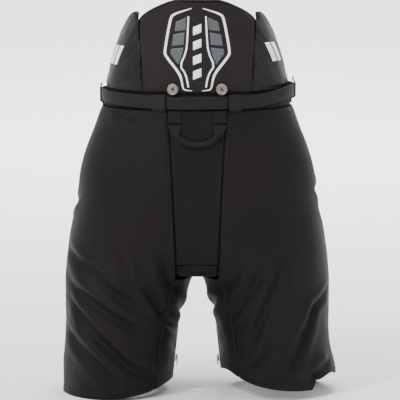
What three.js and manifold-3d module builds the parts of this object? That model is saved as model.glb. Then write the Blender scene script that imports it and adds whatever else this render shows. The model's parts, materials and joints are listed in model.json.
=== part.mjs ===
// Ice hockey pants, padded, standing on their two hems.
// Millimetres, +Z up, +Y towards the wearer's front, +X towards the wearer's right.
// The origin is on the ground, under the middle of the whole piece.
//
// The outer shell, pads and lining follow one body surface. On each side a level
// section of it is an ellipse. An angle on that ellipse runs from the back (0)
// over the outer side (90) to the front (180); negative angles are the inner leg.
import * as THREE from 'three';
import { mergeVertices } from 'three/addons/utils/BufferGeometryUtils.js';
import Module from 'manifold-3d';

const wasm = await Module();
wasm.setup();

// ---- driving dimensions ----
const crotchHeight = 190; // ground to the fork
const rise = 275; // fork to the middle of the waist
const backSupportHeight = 148; // top of the waistband to the top of the spine pad

const waistHalfWidth = 149;
const waistHalfDepth = 105;
const hipHalfWidth = 190;
const seatHalfDepth = 122;
const legOuterHalfWidth = 210;
const hemOuterHalfWidth = 214;
const hemHalfDepth = 112;
const hemHalfGap = 42; // half of the gap between the legs at the hem
const forkHalfGap = 2.5;
const backTopHalfWidth = 104; // body half width at the top of the spine pad
const backTopHalfDepth = 97;
// [share of the rise, middle of a side's level section from the centre line]
const sectionMiddles = [[0.1, 88], [0.25, 60], [0.44, 36], [0.58, 20], [0.72, 9], [0.87, 2]];

const shellThickness = 3;
const seamGap = 0.4; // between pieces that are sewn edge to edge
const stripEase = 1.6; // each centre strip's edge stands this far in from the panels'
const layerGap = 1.8; // between the loose layers inside the shell
const faceGap = 0.3; // between pieces that lie on each other
const capThickness = 2.2; // moulded plastic caps in front of the foam
const foamThickness = 9;
const liningThickness = 1.6;
const liningInset = 20.2; // shell face to the lining's outer face
const tailboneFoamThickness = 7;
const thighPadAngles = [102, 200];
const thighPadHemClearance = 30;
const thighPadOverlap = 42; // how far the thigh pad reaches above the fork
const hipPadAngles = [60, 130];
const padSpacing = 18; // thigh pad to hip pad
const hipPadWaistClearance = 21;

const hemBindingHeight = 6;
const waistbandHeight = 24;
const waistbandThickness = 12;
const gussetTopHalfWidth = 46;
const gussetForkHalfWidth = 34;
const forkStripThickness = 2.4;
const sideSeamAngle = 98;

const beltWidth = 20;
const beltThickness = 2;
const beltLoopWidth = 22;
const beltLoopHeight = 27;
const beltLoopThickness = 2;
const beltTailLength = 58;
const backLoopSpread = 58; // middle of a back belt loop from the centre line
const sideLoopAngle = 92;

const handleSpread = 35; // middle of a handle end from the centre line
const handleEndWidth = 21;
const handleDrop = 30;
const handleThickness = 8;
const handleTabHeight = 19;
const handlePivotHeight = 436;
const handleClearance = 1.4; // handle's back to the gusset

const buttonRadius = 9;
const buttonSpread = 37.5;
const buttonRise = 10; // button centre above the waistband
const frontButtonInner = 58;
const frontButtonOuter = 92;

const flyHalfWidth = 20;
const flyLength = 158; // top of the shell down to the bottom of the fly
const flapHingeX = -25;
const flapFreeX = 31;
const flapThickness = 2.4;
const flapInner = 1.6; // fly flap's inner face, out from the front panels
const flapTopGap = 8; // top of the shell to the flap's top edge, clear of the buckle when it opens

const zipLength = 105; // hem to the upper end of the inner leg zip
const zipHalfWidth = 7;
const zipSliderHeight = 52; // slider's middle above the ground, zip closed
const pullLength = 15;

const spinePadThickness = 9;
const spineTopHalfWidth = 36;
const spineShoulderHalfWidth = 92;
const spineBaseHalfWidth = 86;
const spineShoulderDrop = 38; // top edge down to where the chamfered corners begin
const spineLiningThickness = 5;
const kidneyPadThickness = 8;
const kidneyTopBack = 120; // kidney pad height at its back edge
const kidneyTopSide = 72; // and at its front edge
const kidneyFrontAngle = 116;
const padGap = 2.5; // between the spine pad and the kidney pads

const buckleHalfLength = 17;
const buckleHalfHeight = 14;
const bucklePlate = 2;
const pinRadius = 1.2;
const pinClearance = 0.25;
const leverLength = 26;
const leverHeight = 20;

// ---- worked out from them ----
const waistHeight = crotchHeight + rise;
const beltMiddle = waistHeight + 5;
const waistbandBottom = beltMiddle - waistbandHeight / 2;
const waistbandTop = waistbandBottom + waistbandHeight;
const shellTop = waistbandBottom - seamGap;
const supportBottom = waistbandTop + 2;
const supportTop = waistbandTop + backSupportHeight;
const shellBottom = hemBindingHeight + seamGap;
const flyBottom = shellTop - flyLength;

// ---- the body surface ----
const radians = (degrees) => (degrees * Math.PI) / 180;
const degrees = (angle) => (angle * 180) / Math.PI;
const mix = (a, b, t) => a + (b - a) * t;
const clampUnit = (value) => Math.max(-1, Math.min(1, value));

// Smooth curve through [position, value] stations in rising order of position.
function through(stations) {
  const slopeAt = (i) => {
    const before = stations[Math.max(0, i - 1)];
    const after = stations[Math.min(stations.length - 1, i + 1)];
    return (after[1] - before[1]) / (after[0] - before[0]);
  };
  return (position) => {
    const last = stations.length - 1;
    if (position <= stations[0][0]) return stations[0][1];
    if (position >= stations[last][0]) return stations[last][1];
    const i = stations.findIndex((station) => station[0] > position) - 1;
    const span = stations[i + 1][0] - stations[i][0];
    const t = (position - stations[i][0]) / span;
    const startPull = t * (1 - t) * (1 - t) * span * slopeAt(i);
    const endPull = t * t * (t - 1) * span * slopeAt(i + 1);
    const blend = t * t * (3 - 2 * t);
    return mix(stations[i][1], stations[i + 1][1], blend) + startPull + endPull;
  };
}

const onLeg = (share) => crotchHeight * share;
const onRise = (share) => crotchHeight + rise * share;
const onBack = (share) => waistHeight + (supportTop - waistHeight) * share;

const halfWidth = through([
  [0, hemOuterHalfWidth], [onLeg(0.24), hemOuterHalfWidth], [onLeg(0.5), legOuterHalfWidth],
  [onLeg(1), legOuterHalfWidth - 0.5], [onRise(0.25), mix(legOuterHalfWidth, hipHalfWidth, 0.4)],
  [onRise(0.44), hipHalfWidth], [onRise(0.58), hipHalfWidth - 3],
  [onRise(0.72), mix(waistHalfWidth, hipHalfWidth, 0.69)],
  [onRise(0.87), mix(waistHalfWidth, hipHalfWidth, 0.3)], [waistHeight, waistHalfWidth],
  [onBack(0.25), mix(waistHalfWidth, backTopHalfWidth, 0.18)],
  [onBack(0.5), mix(waistHalfWidth, backTopHalfWidth, 0.42)],
  [onBack(0.75), mix(waistHalfWidth, backTopHalfWidth, 0.75)], [supportTop, backTopHalfWidth],
]);
const centreLine = through([
  [0, (hemOuterHalfWidth + hemHalfGap) / 2], [onLeg(0.5), mix(legOuterHalfWidth, hemHalfGap, 0.5) - 5],
  [onLeg(0.89), (legOuterHalfWidth + forkHalfGap) / 2 + 5.5],
  [onLeg(1), (legOuterHalfWidth + forkHalfGap) / 2],
  ...sectionMiddles.map(([share, middle]) => [onRise(share), middle]), [waistHeight, 0],
  [supportTop, 0],
]);
const halfDepth = through([
  [0, hemHalfDepth], [onLeg(0.5), mix(hemHalfDepth, seatHalfDepth, 0.25)],
  [onLeg(1), mix(hemHalfDepth, seatHalfDepth, 0.75)], [onRise(0.36), seatHalfDepth],
  [onRise(0.72), mix(seatHalfDepth, waistHalfDepth, 0.4)], [waistHeight, waistHalfDepth],
  [onBack(0.4), mix(waistHalfDepth, backTopHalfDepth, 0.3)], [supportTop, backTopHalfDepth],
]);
const forward = through([[0, 4], [onLeg(1), 0], [onRise(0.36), -3], [waistHeight, 0], [supportTop, 2]]);
const backGussetHalf = through([
  [crotchHeight, gussetForkHalfWidth], [onRise(0.25), gussetForkHalfWidth + 1],
  [waistHeight, gussetTopHalfWidth],
]);
const frontGussetHalf = through([
  [crotchHeight, gussetForkHalfWidth], [flyBottom, flyHalfWidth], [waistHeight, flyHalfWidth],
]);
// How far the centre strips bulge out between their two long edges.
const stripBulge = through([
  [crotchHeight, -6], [onRise(0.25), -3], [onRise(0.44), 0.5], [onRise(0.72), 3.5], [waistHeight, 5],
]);

// Point of the body surface at an angle and a height, offset outwards.
function bodyPoint(angle, height, offset) {
  const centre = centreLine(height);
  const across = halfWidth(height) - centre + offset;
  const deep = halfDepth(height) + offset;
  return [
    centre + across * Math.sin(radians(angle)),
    forward(height) - deep * Math.cos(radians(angle)),
    height,
  ];
}

// Angle, on the back half of a section, at which the surface stands x from the centre line.
function angleAt(x, height, offset) {
  const centre = centreLine(height);
  const across = halfWidth(height) - centre + offset;
  return degrees(Math.asin(clampUnit((x - centre) / across)));
}

const backPoint = (x, height, offset) => {
  const point = bodyPoint(angleAt(Math.abs(x), height, offset), height, offset);
  return [x, point[1], height];
};
const frontPoint = (x, height, offset) => {
  const point = bodyPoint(180 - angleAt(Math.abs(x), height, offset), height, offset);
  return [x, point[1], height];
};

// Centre strip of the back: its long edges lie on the body surface.
function gussetPoint(x, height, offset) {
  const edge = backPoint(backGussetHalf(height), height, 0)[1];
  const bulge = stripBulge(height) * (1 - (x / backGussetHalf(height)) ** 2);
  return [x, edge - bulge - offset, height];
}
function frontStripPoint(x, height, offset) {
  const edge = frontPoint(frontGussetHalf(height), height, 0)[1];
  const bulge = Math.max(0, stripBulge(height)) * 0.3 * (1 - (x / flyHalfWidth) ** 2);
  return [x, edge + bulge + offset, height];
}

// Front of the pants at x: the centre strip, then the panel beside it.
function frontFace(x, height, offset) {
  const onStrip = Math.abs(x) < frontGussetHalf(height);
  return onStrip ? frontStripPoint(x, height, offset) : frontPoint(x, height, offset);
}

// ---- solids ----
function geometryOf(points, faces) {
  const geometry = new THREE.BufferGeometry();
  geometry.setAttribute('position', new THREE.Float32BufferAttribute(points.flat(), 3));
  const volume = faces.reduce((sum, [a, b, c]) => {
    const [p, q, r] = [points[a], points[b], points[c]];
    return sum + p[0] * (q[1] * r[2] - q[2] * r[1]) + p[1] * (q[2] * r[0] - q[0] * r[2])
      + p[2] * (q[0] * r[1] - q[1] * r[0]);
  }, 0);
  const outward = volume < 0 ? faces.map(([a, b, c]) => [a, c, b]) : faces;
  geometry.setIndex(outward.flat());
  geometry.computeVertexNormals();
  return geometry;
}

// Closed tube of rings that all have the same number of points, capped at both ends.
function loft(rings) {
  const count = rings[0].length;
  const points = rings.flat();
  const faces = [];
  for (let ring = 0; ring < rings.length - 1; ring += 1) {
    for (let i = 0; i < count; i += 1) {
      const a = ring * count + i;
      const b = ring * count + ((i + 1) % count);
      faces.push([a, b, b + count], [a, b + count, a + count]);
    }
  }
  const last = (rings.length - 1) * count;
  for (let i = 1; i < count - 1; i += 1) {
    faces.push([0, i + 1, i], [last, last + i, last + i + 1]);
  }
  return geometryOf(points, faces);
}

// Closed sheet between two offsets of a surface. surface(u, v, offset) is a point,
// u and v run from 0 to 1, and inner and outer are numbers or functions of u and v.
function slab(surface, inner, outer, across, up) {
  const offsetOf = (side, u, v) => (typeof side === 'function' ? side(u, v) : side);
  const points = [];
  for (const side of [outer, inner]) {
    for (let j = 0; j <= up; j += 1) {
      for (let i = 0; i <= across; i += 1) {
        const [u, v] = [i / across, j / up];
        points.push(surface(u, v, offsetOf(side, u, v)));
      }
    }
  }
  const row = across + 1;
  const layer = row * (up + 1);
  const faces = [];
  const quad = (a, b, c, d) => faces.push([a, b, c], [a, c, d]);
  for (let j = 0; j < up; j += 1) {
    for (let i = 0; i < across; i += 1) {
      const a = j * row + i;
      quad(a, a + 1, a + 1 + row, a + row);
      quad(layer + a, layer + a + row, layer + a + 1 + row, layer + a + 1);
    }
  }
  for (let i = 0; i < across; i += 1) {
    const top = up * row + i;
    quad(i, layer + i, layer + i + 1, i + 1);
    quad(top, top + 1, layer + top + 1, layer + top);
  }
  for (let j = 0; j < up; j += 1) {
    const left = j * row;
    const right = left + across;
    quad(left, left + row, layer + left + row, layer + left);
    quad(right, layer + right, layer + right + row, right + row);
  }
  return geometryOf(points, faces);
}

function solidOf(geometry) {
  const bare = geometry.clone();
  bare.deleteAttribute('normal');
  bare.deleteAttribute('uv');
  const merged = mergeVertices(bare, 1e-4);
  return new wasm.Manifold(new wasm.Mesh({
    numProp: 3,
    vertProperties: merged.attributes.position.array,
    triVerts: new Uint32Array(merged.index.array),
  }));
}
function geometryFrom(solid) {
  const mesh = solid.getMesh();
  const geometry = new THREE.BufferGeometry();
  geometry.setAttribute('position', new THREE.BufferAttribute(mesh.vertProperties, 3));
  geometry.setIndex(new THREE.BufferAttribute(mesh.triVerts, 1));
  geometry.computeVertexNormals();
  return geometry;
}
const cut = (body, tool) => geometryFrom(solidOf(body).subtract(solidOf(tool)));
const join = (body, other) => geometryFrom(solidOf(body).add(solidOf(other)));

const box = (x0, x1, y0, y1, z0, z1) => new THREE.BoxGeometry(x1 - x0, y1 - y0, z1 - z0)
  .translate((x0 + x1) / 2, (y0 + y1) / 2, (z0 + z1) / 2);

function mirrored(geometry) {
  const copy = geometry.clone().scale(-1, 1, 1);
  const index = copy.index.array;
  for (let i = 0; i < index.length; i += 3) {
    [index[i + 1], index[i + 2]] = [index[i + 2], index[i + 1]];
  }
  copy.computeVertexNormals();
  return copy;
}

// ---- materials ----
const material = (color, roughness, metalness = 0) => new THREE.MeshStandardMaterial({
  color, roughness, metalness,
});
const materials = {
  shell: material(0x2b2829, 0.62),
  knit: material(0x262524, 0.85),
  binding: material(0x141414, 0.7),
  lining: material(0x1c1c1e, 0.8),
  foam: material(0x55575a, 0.9),
  cap: material(0x1d1e20, 0.45),
  spineCover: material(0x332e2f, 0.75),
  kidneyCover: material(0x2f2e2f, 0.45),
  webbing: material(0x232221, 0.75),
  handleWebbing: material(0x2c2b2a, 0.8),
  buckle: material(0x17171a, 0.4),
  steel: material(0x9a9893, 0.35, 0.9),
};

const pants = new THREE.Group();
function add(name, geometry, finish) {
  const mesh = new THREE.Mesh(geometry, finish);
  mesh.name = name;
  pants.add(mesh);
  return mesh;
}
// Adds a piece of the wearer's right side, and its mirror image on the left.
function addPair(name, geometry, finish) {
  add(`${name}_right`, geometry, finish);
  add(`${name}_left`, mirrored(geometry), finish);
}

// ---- outer shell ----
const forkAngle = angleAt(gussetForkHalfWidth + seamGap, crotchHeight, 0);
// Back and front angles of the seams beside the centre strips, which run on down the inner leg.
function backSeamAngle(height, offset) {
  if (height < crotchHeight) return forkAngle;
  return angleAt(backGussetHalf(height) + seamGap, height, offset);
}
function frontSeamAngle(height, offset) {
  if (height < crotchHeight) return 180 - forkAngle;
  return 180 - angleAt(frontGussetHalf(height) + seamGap, height, offset);
}
const sideGapAngle = 0.3;
const innerSeamAngle = 0.4;

function addShell() {
  const heightAt = (v) => mix(shellBottom, shellTop, v);
  const backPanel = (u, v, offset) => {
    const height = heightAt(v);
    const angle = mix(backSeamAngle(height, offset), sideSeamAngle - sideGapAngle, u);
    return bodyPoint(angle, height, offset);
  };
  const frontPanel = (u, v, offset) => {
    const height = heightAt(v);
    const angle = mix(sideSeamAngle + sideGapAngle, frontSeamAngle(height, offset), u);
    return bodyPoint(angle, height, offset);
  };
  addPair('back_panel', slab(backPanel, -shellThickness, 0, 10, 12), materials.shell);
  addPair('front_panel', slab(frontPanel, -shellThickness, 0, 9, 12), materials.shell);

  const innerTop = crotchHeight - seamGap;
  const innerLegPanel = (u, v, offset) => {
    const angle = mix(forkAngle - innerSeamAngle, innerSeamAngle - 180 - forkAngle, u);
    return bodyPoint(angle, mix(shellBottom, innerTop, v), offset);
  };
  const zipSlot = box(-20, 90, -zipHalfWidth, zipHalfWidth, -1, zipLength);
  const panel = slab(innerLegPanel, -shellThickness, 0, 8, 6);
  addPair('inner_leg_panel', cut(panel, zipSlot), materials.shell);
}

const backGussetBottom = crotchHeight + 25;
function addCentreStrips() {
  const backStrip = (u, v, offset) => {
    const height = mix(backGussetBottom + seamGap, shellTop, v);
    return gussetPoint(mix(-1, 1, u) * (backGussetHalf(height) - stripEase), height, offset);
  };
  add('back_gusset', slab(backStrip, -shellThickness, 0, 6, 10), materials.knit);

  const facing = (u, v, offset) => {
    const height = mix(flyBottom + seamGap, shellTop, v);
    return frontStripPoint(mix(-1, 1, u) * (flyHalfWidth - stripEase), height, offset);
  };
  add('fly_facing', slab(facing, -shellThickness, 0, 4, 6), materials.knit);

  // Runs from the back gusset under the fork and up the front to the fly.
  const forkFloor = crotchHeight + seamGap;
  const backEdge = gussetPoint(0, backGussetBottom, 0)[1];
  const backTurn = backPoint(gussetForkHalfWidth, crotchHeight, 0)[1];
  const frontTurn = frontPoint(gussetForkHalfWidth, crotchHeight, 0)[1];
  const path = new THREE.CatmullRomCurve3([
    [backEdge, backGussetBottom - 2], [mix(backEdge, backTurn, 0.6), crotchHeight + 11],
    [backTurn + 6, forkFloor + 2], [backTurn * 0.4, forkFloor], [frontTurn * 0.4, forkFloor],
    [frontTurn - 6, forkFloor + 2], [frontStripPoint(0, crotchHeight + 25, 0)[1], crotchHeight + 25],
    [frontStripPoint(0, crotchHeight + 65, 0)[1], crotchHeight + 65],
    [frontStripPoint(0, flyBottom, 0)[1], flyBottom - 1],
  ].map(([y, z]) => new THREE.Vector3(0, y, z)));
  const halfAt = (point) => {
    if (point.z > crotchHeight + 12) {
      return point.y < 0 ? gussetForkHalfWidth : frontGussetHalf(point.z);
    }
    const share = Math.min(1, (point.y / backTurn) ** 2);
    return mix(gussetForkHalfWidth - 18, gussetForkHalfWidth, share);
  };
  const forkStrip = (u, v, offset) => {
    const point = path.getPoint(v);
    const along = path.getTangent(v);
    return [
      mix(-1, 1, u) * (halfAt(point) - stripEase),
      point.y - along.z * offset,
      point.z + along.y * offset,
    ];
  };
  add('crotch_gusset', slab(forkStrip, 0, forkStripThickness, 4, 16), materials.knit);
}

function addBands() {
  // A flat ring under each leg that closes the shell, pads and lining, open at the zip.
  const slitAngle = degrees(Math.asin((zipHalfWidth + 1) / hemHalfDepth));
  const bindingInner = -(liningInset + liningThickness);
  const binding = (u, v, offset) => {
    const angle = mix(slitAngle - 90, 270 - slitAngle, u);
    return bodyPoint(angle, hemBindingHeight * v, offset);
  };
  addPair('hem_binding', slab(binding, bindingInner, 0.8, 26, 1), materials.binding);

  const openAngle = degrees(Math.asin((flyHalfWidth + 1) / waistHalfWidth));
  const band = (u, v, offset) => {
    const point = bodyPoint(mix(openAngle - 180, 180 - openAngle, u), beltMiddle, offset);
    return [point[0], point[1], mix(waistbandBottom, waistbandTop, v)];
  };
  add('waistband', slab(band, -waistbandThickness, 0, 36, 1), materials.webbing);
}

// ---- lining and pads ----
function addLining() {
  const bottom = shellBottom;
  const top = waistbandBottom - seamGap;
  const innerX = 1; // the two linings meet at the centre line
  const half = (isFront) => (u, v, offset) => {
    const height = mix(bottom, top, v);
    const inner = height < crotchHeight ? -90 : angleAt(innerX, height, offset);
    const start = isFront ? sideSeamAngle + sideGapAngle : inner;
    const end = isFront ? 180 - inner - seamGap : sideSeamAngle - sideGapAngle;
    return bodyPoint(mix(start, end, u), height, offset);
  };
  const outer = -liningInset;
  const inner = outer - liningThickness;
  addPair('back_lining', slab(half(false), inner, outer, 8, 12), materials.lining);
  addPair('front_lining', slab(half(true), inner, outer, 8, 12), materials.lining);
}

// A moulded plastic cap with a larger foam pad behind it, both following the body.
function addCappedPad(name, angles, heights) {
  const patch = (margin) => (u, v, offset) => bodyPoint(
    mix(angles[0] + margin, angles[1] - margin, u),
    mix(heights[0] + 2 * margin, heights[1] - 2 * margin, v),
    offset,
  );
  const capOuter = -(shellThickness + layerGap);
  const foamOuter = capOuter - capThickness - layerGap;
  addPair(`${name}_cap`, slab(patch(4), capOuter - capThickness, capOuter, 7, 6), materials.cap);
  addPair(`${name}_foam`, slab(patch(0), foamOuter - foamThickness, foamOuter, 7, 6), materials.foam);
}

function addTailbonePad() {
  const heights = [onRise(0.22), onRise(0.8)];
  const patch = (share, margin) => (u, v, offset) => {
    const height = mix(heights[0] + margin, heights[1] - margin, v);
    return gussetPoint(mix(-share, share, u) * backGussetHalf(height), height, offset);
  };
  const capOuter = -(shellThickness + layerGap);
  const foamOuter = capOuter - capThickness - layerGap;
  add('tailbone_cap', slab(patch(0.7, 10), capOuter - capThickness, capOuter, 4, 6), materials.cap);
  add('tailbone_foam', slab(patch(0.92, 0), foamOuter - tailboneFoamThickness, foamOuter, 4, 6),
    materials.foam);
}

// ---- back support above the waistband ----
const spineHalf = (height) => {
  const shoulder = supportTop - spineShoulderDrop;
  if (height <= shoulder) {
    const share = (height - supportBottom) / (shoulder - supportBottom);
    return mix(spineBaseHalfWidth, spineShoulderHalfWidth, share);
  }
  const share = (height - shoulder) / (supportTop - shoulder);
  return mix(spineShoulderHalfWidth, spineTopHalfWidth, share ** 2.2);
};
const padFace = 3; // the covers' outer face stands this far out of the shell's
// The cover thins towards its sewn lower edge, so that it folds there.
const coverFace = (v) => mix(-1.5, padFace, Math.min(1, v / 0.1));

function addBackSupport() {
  const spinePatch = (share, margin) => (u, v, offset) => {
    const height = mix(supportBottom + margin, supportTop - margin, v);
    return backPoint(mix(-share, share, u) * spineHalf(height), height, offset);
  };
  const coverBack = padFace - spinePadThickness;
  const insertOuter = coverBack - 2 * layerGap;
  const liningOuter = insertOuter - capThickness - layerGap;
  add('spine_pad_cover', slab(spinePatch(1, 0), coverBack, (u, v) => coverFace(v), 8, 10),
    materials.spineCover);
  add('spine_pad_insert', slab(spinePatch(0.86, 12), insertOuter - capThickness, insertOuter, 8, 10),
    materials.cap);
  add('spine_pad_lining',
    slab(spinePatch(0.97, 2), liningOuter - spineLiningThickness, liningOuter, 8, 8), materials.lining);

  const kidneyPatch = (margin) => (u, v, offset) => {
    const top = mix(kidneyTopBack, kidneyTopSide, u ** 1.6) + supportBottom - margin;
    const height = mix(supportBottom + margin, top, v);
    const start = angleAt(spineHalf(height) + padGap + margin, height, offset);
    return bodyPoint(mix(start, kidneyFrontAngle - margin, u), height, offset);
  };
  const kidneyBack = padFace - kidneyPadThickness;
  addPair('kidney_pad_cover', slab(kidneyPatch(0), kidneyBack, (u, v) => coverFace(v) - 0.5, 8, 6),
    materials.kidneyCover);
  addPair('kidney_pad_insert',
    slab(kidneyPatch(7), kidneyBack - layerGap - capThickness, kidneyBack - layerGap, 6, 5),
    materials.cap);
}

// ---- belt, loops and buckle ----
const beltOffset = 1.2; // clears the waistband's facets
const beltFace = beltOffset + beltThickness;
const buckleBack = frontPoint(0, beltMiddle, 0)[1] + 4.5;

function addBelt() {
  const endAngle = 180 - angleAt(buckleHalfLength + 0.6, beltMiddle, beltOffset);
  const heightAt = (v) => beltMiddle + beltWidth * (v - 0.5);
  const belt = (u, v, offset) => {
    const point = bodyPoint(mix(-endAngle, endAngle, u), beltMiddle, offset);
    return [point[0], point[1], heightAt(v)];
  };
  add('belt_webbing', slab(belt, beltOffset, beltFace, 36, 1), materials.webbing);

  const tailStart = -(buckleHalfLength + 0.6);
  const tailInner = beltFace + 1.2;
  const tail = (u, v, offset) => {
    const point = frontPoint(tailStart - beltTailLength * u, beltMiddle, offset);
    return [point[0], point[1], heightAt(v)];
  };
  add('belt_tail', slab(tail, tailInner, tailInner + beltThickness, 6, 1), materials.webbing);

  // Belt loops are flat straps that stand just off the belt.
  const loopInner = beltFace + 1.2;
  const loopBottom = beltMiddle - beltLoopHeight / 2 - 1;
  const backLoop = (u, v, offset) => {
    const x = backLoopSpread + beltLoopWidth * (u - 0.5);
    return [x, backPoint(x, beltMiddle, offset)[1], loopBottom + beltLoopHeight * v];
  };
  addPair('back_belt_loop', slab(backLoop, loopInner, loopInner + beltLoopThickness, 2, 1),
    materials.webbing);
  const loopSpan = degrees(beltLoopWidth / waistHalfDepth);
  const sideLoop = (u, v, offset) => {
    const point = bodyPoint(sideLoopAngle + loopSpan * (u - 0.5), beltMiddle, offset);
    return [point[0], point[1], loopBottom + beltLoopHeight * v];
  };
  addPair('side_belt_loop', slab(sideLoop, loopInner, loopInner + beltLoopThickness, 2, 1),
    materials.webbing);
}

// Lever-lock buckle: the lever turns on an upright pin held between two cheeks.
const pinX = -buckleHalfLength + 6;
const pinY = buckleBack + bucklePlate + 4;
const rodFacets = 16;
const uprightRod = (radius, length) => new THREE.CylinderGeometry(radius, radius, length, rodFacets)
  .rotateX(Math.PI / 2).translate(pinX, pinY, beltMiddle);

function addBuckle() {
  const cheekInner = leverHeight / 2 + faceGap;
  const plate = box(-buckleHalfLength, buckleHalfLength, buckleBack, buckleBack + bucklePlate,
    beltMiddle - buckleHalfHeight, beltMiddle + buckleHalfHeight);
  const cheekAt = (low, high) => box(pinX - 4, pinX + 8, buckleBack + 0.5, pinY + 3.2,
    beltMiddle + low, beltMiddle + high);
  let frame = join(plate, cheekAt(cheekInner, buckleHalfHeight));
  frame = join(frame, cheekAt(-buckleHalfHeight, -cheekInner));
  frame = cut(frame, uprightRod(pinRadius + pinClearance, 3 * buckleHalfHeight));
  add('buckle_frame', frame, materials.buckle);
  add('buckle_pin', uprightRod(pinRadius, 2 * buckleHalfHeight - 1), materials.steel);

  // The lever's outline in plan: a barrel round the pin and an arm with a turned-up end.
  const barrel = 3;
  const arm = new THREE.Shape();
  arm.absarc(0, 0, barrel, -Math.PI / 3, Math.PI, true);
  arm.absarc(0, 0, barrel, Math.PI, Math.PI / 2, true);
  arm.lineTo(leverLength - 4, barrel);
  arm.lineTo(leverLength, barrel + 2);
  arm.lineTo(leverLength + 1, barrel + 0.8);
  arm.lineTo(leverLength - 3, 0.6);
  const bore = new THREE.Path();
  bore.absarc(0, 0, pinRadius + pinClearance, 0, 2 * Math.PI, false);
  arm.holes.push(bore);
  const lever = new THREE.ExtrudeGeometry(arm, {
    depth: leverHeight, bevelEnabled: false, curveSegments: 10,
  });
  lever.translate(pinX, pinY, beltMiddle - leverHeight / 2);
  add('buckle_lever', lever, materials.buckle);
}

// ---- carry handle ----
function addHandle() {
  const tabBottom = handlePivotHeight + 3;
  const tab = (u, v, offset) => gussetPoint(
    handleSpread + handleEndWidth * (u - 0.5), tabBottom + handleTabHeight * v, offset,
  );
  addPair('handle_tab', slab(tab, 0.9, 0.9 + beltLoopThickness, 2, 1), materials.handleWebbing);

  // A strap from end to end, flat where it is sewn and rolled into a grip in the middle.
  // [share of the spread, share of the drop] down one half of the loop
  const halfLoop = [[1, 0], [0.92, 0.4], [0.5, 0.88]];
  const onFace = (across, down) => {
    const middle = handleClearance + mix(1.2, handleThickness / 2, Math.min(1, down * 1.4));
    const height = handlePivotHeight - handleDrop * down;
    return gussetPoint(handleSpread * across, height, middle);
  };
  const steps = 16;
  const facets = 8;
  const path = new THREE.CatmullRomCurve3([
    ...halfLoop.map(([across, down]) => onFace(-across, down)),
    onFace(0, 1),
    ...halfLoop.map(([across, down]) => onFace(across, down)).reverse(),
  ].map((p) => new THREE.Vector3(...p)));
  const rings = [];
  for (let step = 0; step <= steps; step += 1) {
    const share = step / steps;
    const point = path.getPointAt(share);
    const tangent = path.getTangentAt(share);
    const side = new THREE.Vector3(0, 1, 0).cross(tangent).normalize();
    const outwards = tangent.clone().cross(side).normalize();
    const flat = Math.max(0, 1 - Math.min(share, 1 - share) / 0.22);
    const wide = mix(handleThickness * 0.6, handleEndWidth / 2, flat * flat);
    const thick = mix(handleThickness / 2, 1.2, flat);
    rings.push(Array.from({ length: facets }, (unused, i) => {
      const angle = (2 * Math.PI * (i + 0.5)) / facets;
      return point.clone().addScaledVector(side, wide * Math.cos(angle))
        .addScaledVector(outwards, thick * Math.sin(angle)).toArray();
    }));
  }
  add('carry_handle', loft(rings), materials.handleWebbing);
}

// ---- suspender buttons ----
function addButtons() {
  // A shank under a rimmed head with a flat sunk face.
  const profile = [
    [0, 0], [4, 0], [4, 1.6], [buttonRadius, 1.8], [buttonRadius, 3.8],
    [buttonRadius - 1.6, 3.8], [buttonRadius - 2, 3.2], [0, 3.2],
  ].map(([r, z]) => new THREE.Vector2(r, z));
  const head = () => mergeVertices(bare(new THREE.LatheGeometry(profile, 14)), 1e-4)
    .rotateX(Math.PI / 2);
  const bare = (geometry) => {
    geometry.deleteAttribute('normal');
    geometry.deleteAttribute('uv');
    return geometry;
  };
  const seat = (name, x, point, height, offset) => {
    const here = point(x, height, offset);
    const [beside, above] = [point(x + 1, height, offset), point(x, height + 1, offset)];
    const right = new THREE.Vector3(...beside).sub(new THREE.Vector3(...here));
    const up = new THREE.Vector3(...above).sub(new THREE.Vector3(...here));
    const out = right.cross(up).normalize();
    if (out.y * here[1] < 0) out.negate();
    const button = add(name, head(), materials.steel);
    button.position.set(...here);
    button.quaternion.setFromUnitVectors(new THREE.Vector3(0, 0, 1), out);
  };
  const buttonHeight = waistbandTop + buttonRise;
  for (const [side, sign] of [['right', 1], ['left', -1]]) {
    seat(`back_button_${side}`, sign * buttonSpread, backPoint, buttonHeight, padFace + 0.5);
    seat(`front_button_inner_${side}`, sign * frontButtonInner, frontPoint,
      waistbandBottom - buttonRadius - 3, 0.6);
    seat(`front_button_outer_${side}`, sign * frontButtonOuter, frontPoint,
      waistbandBottom - buttonRadius - 3, 0.8);
  }
}

// ---- fly flap ----
function addFly() {
  const flap = (u, v, offset) => frontFace(
    mix(flapHingeX, flapFreeX, u), mix(flyBottom - 6, shellTop - flapTopGap, v), offset,
  );
  add('fly_flap', slab(flap, flapInner, flapInner + flapThickness, 6, 6), materials.shell);
}

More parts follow.
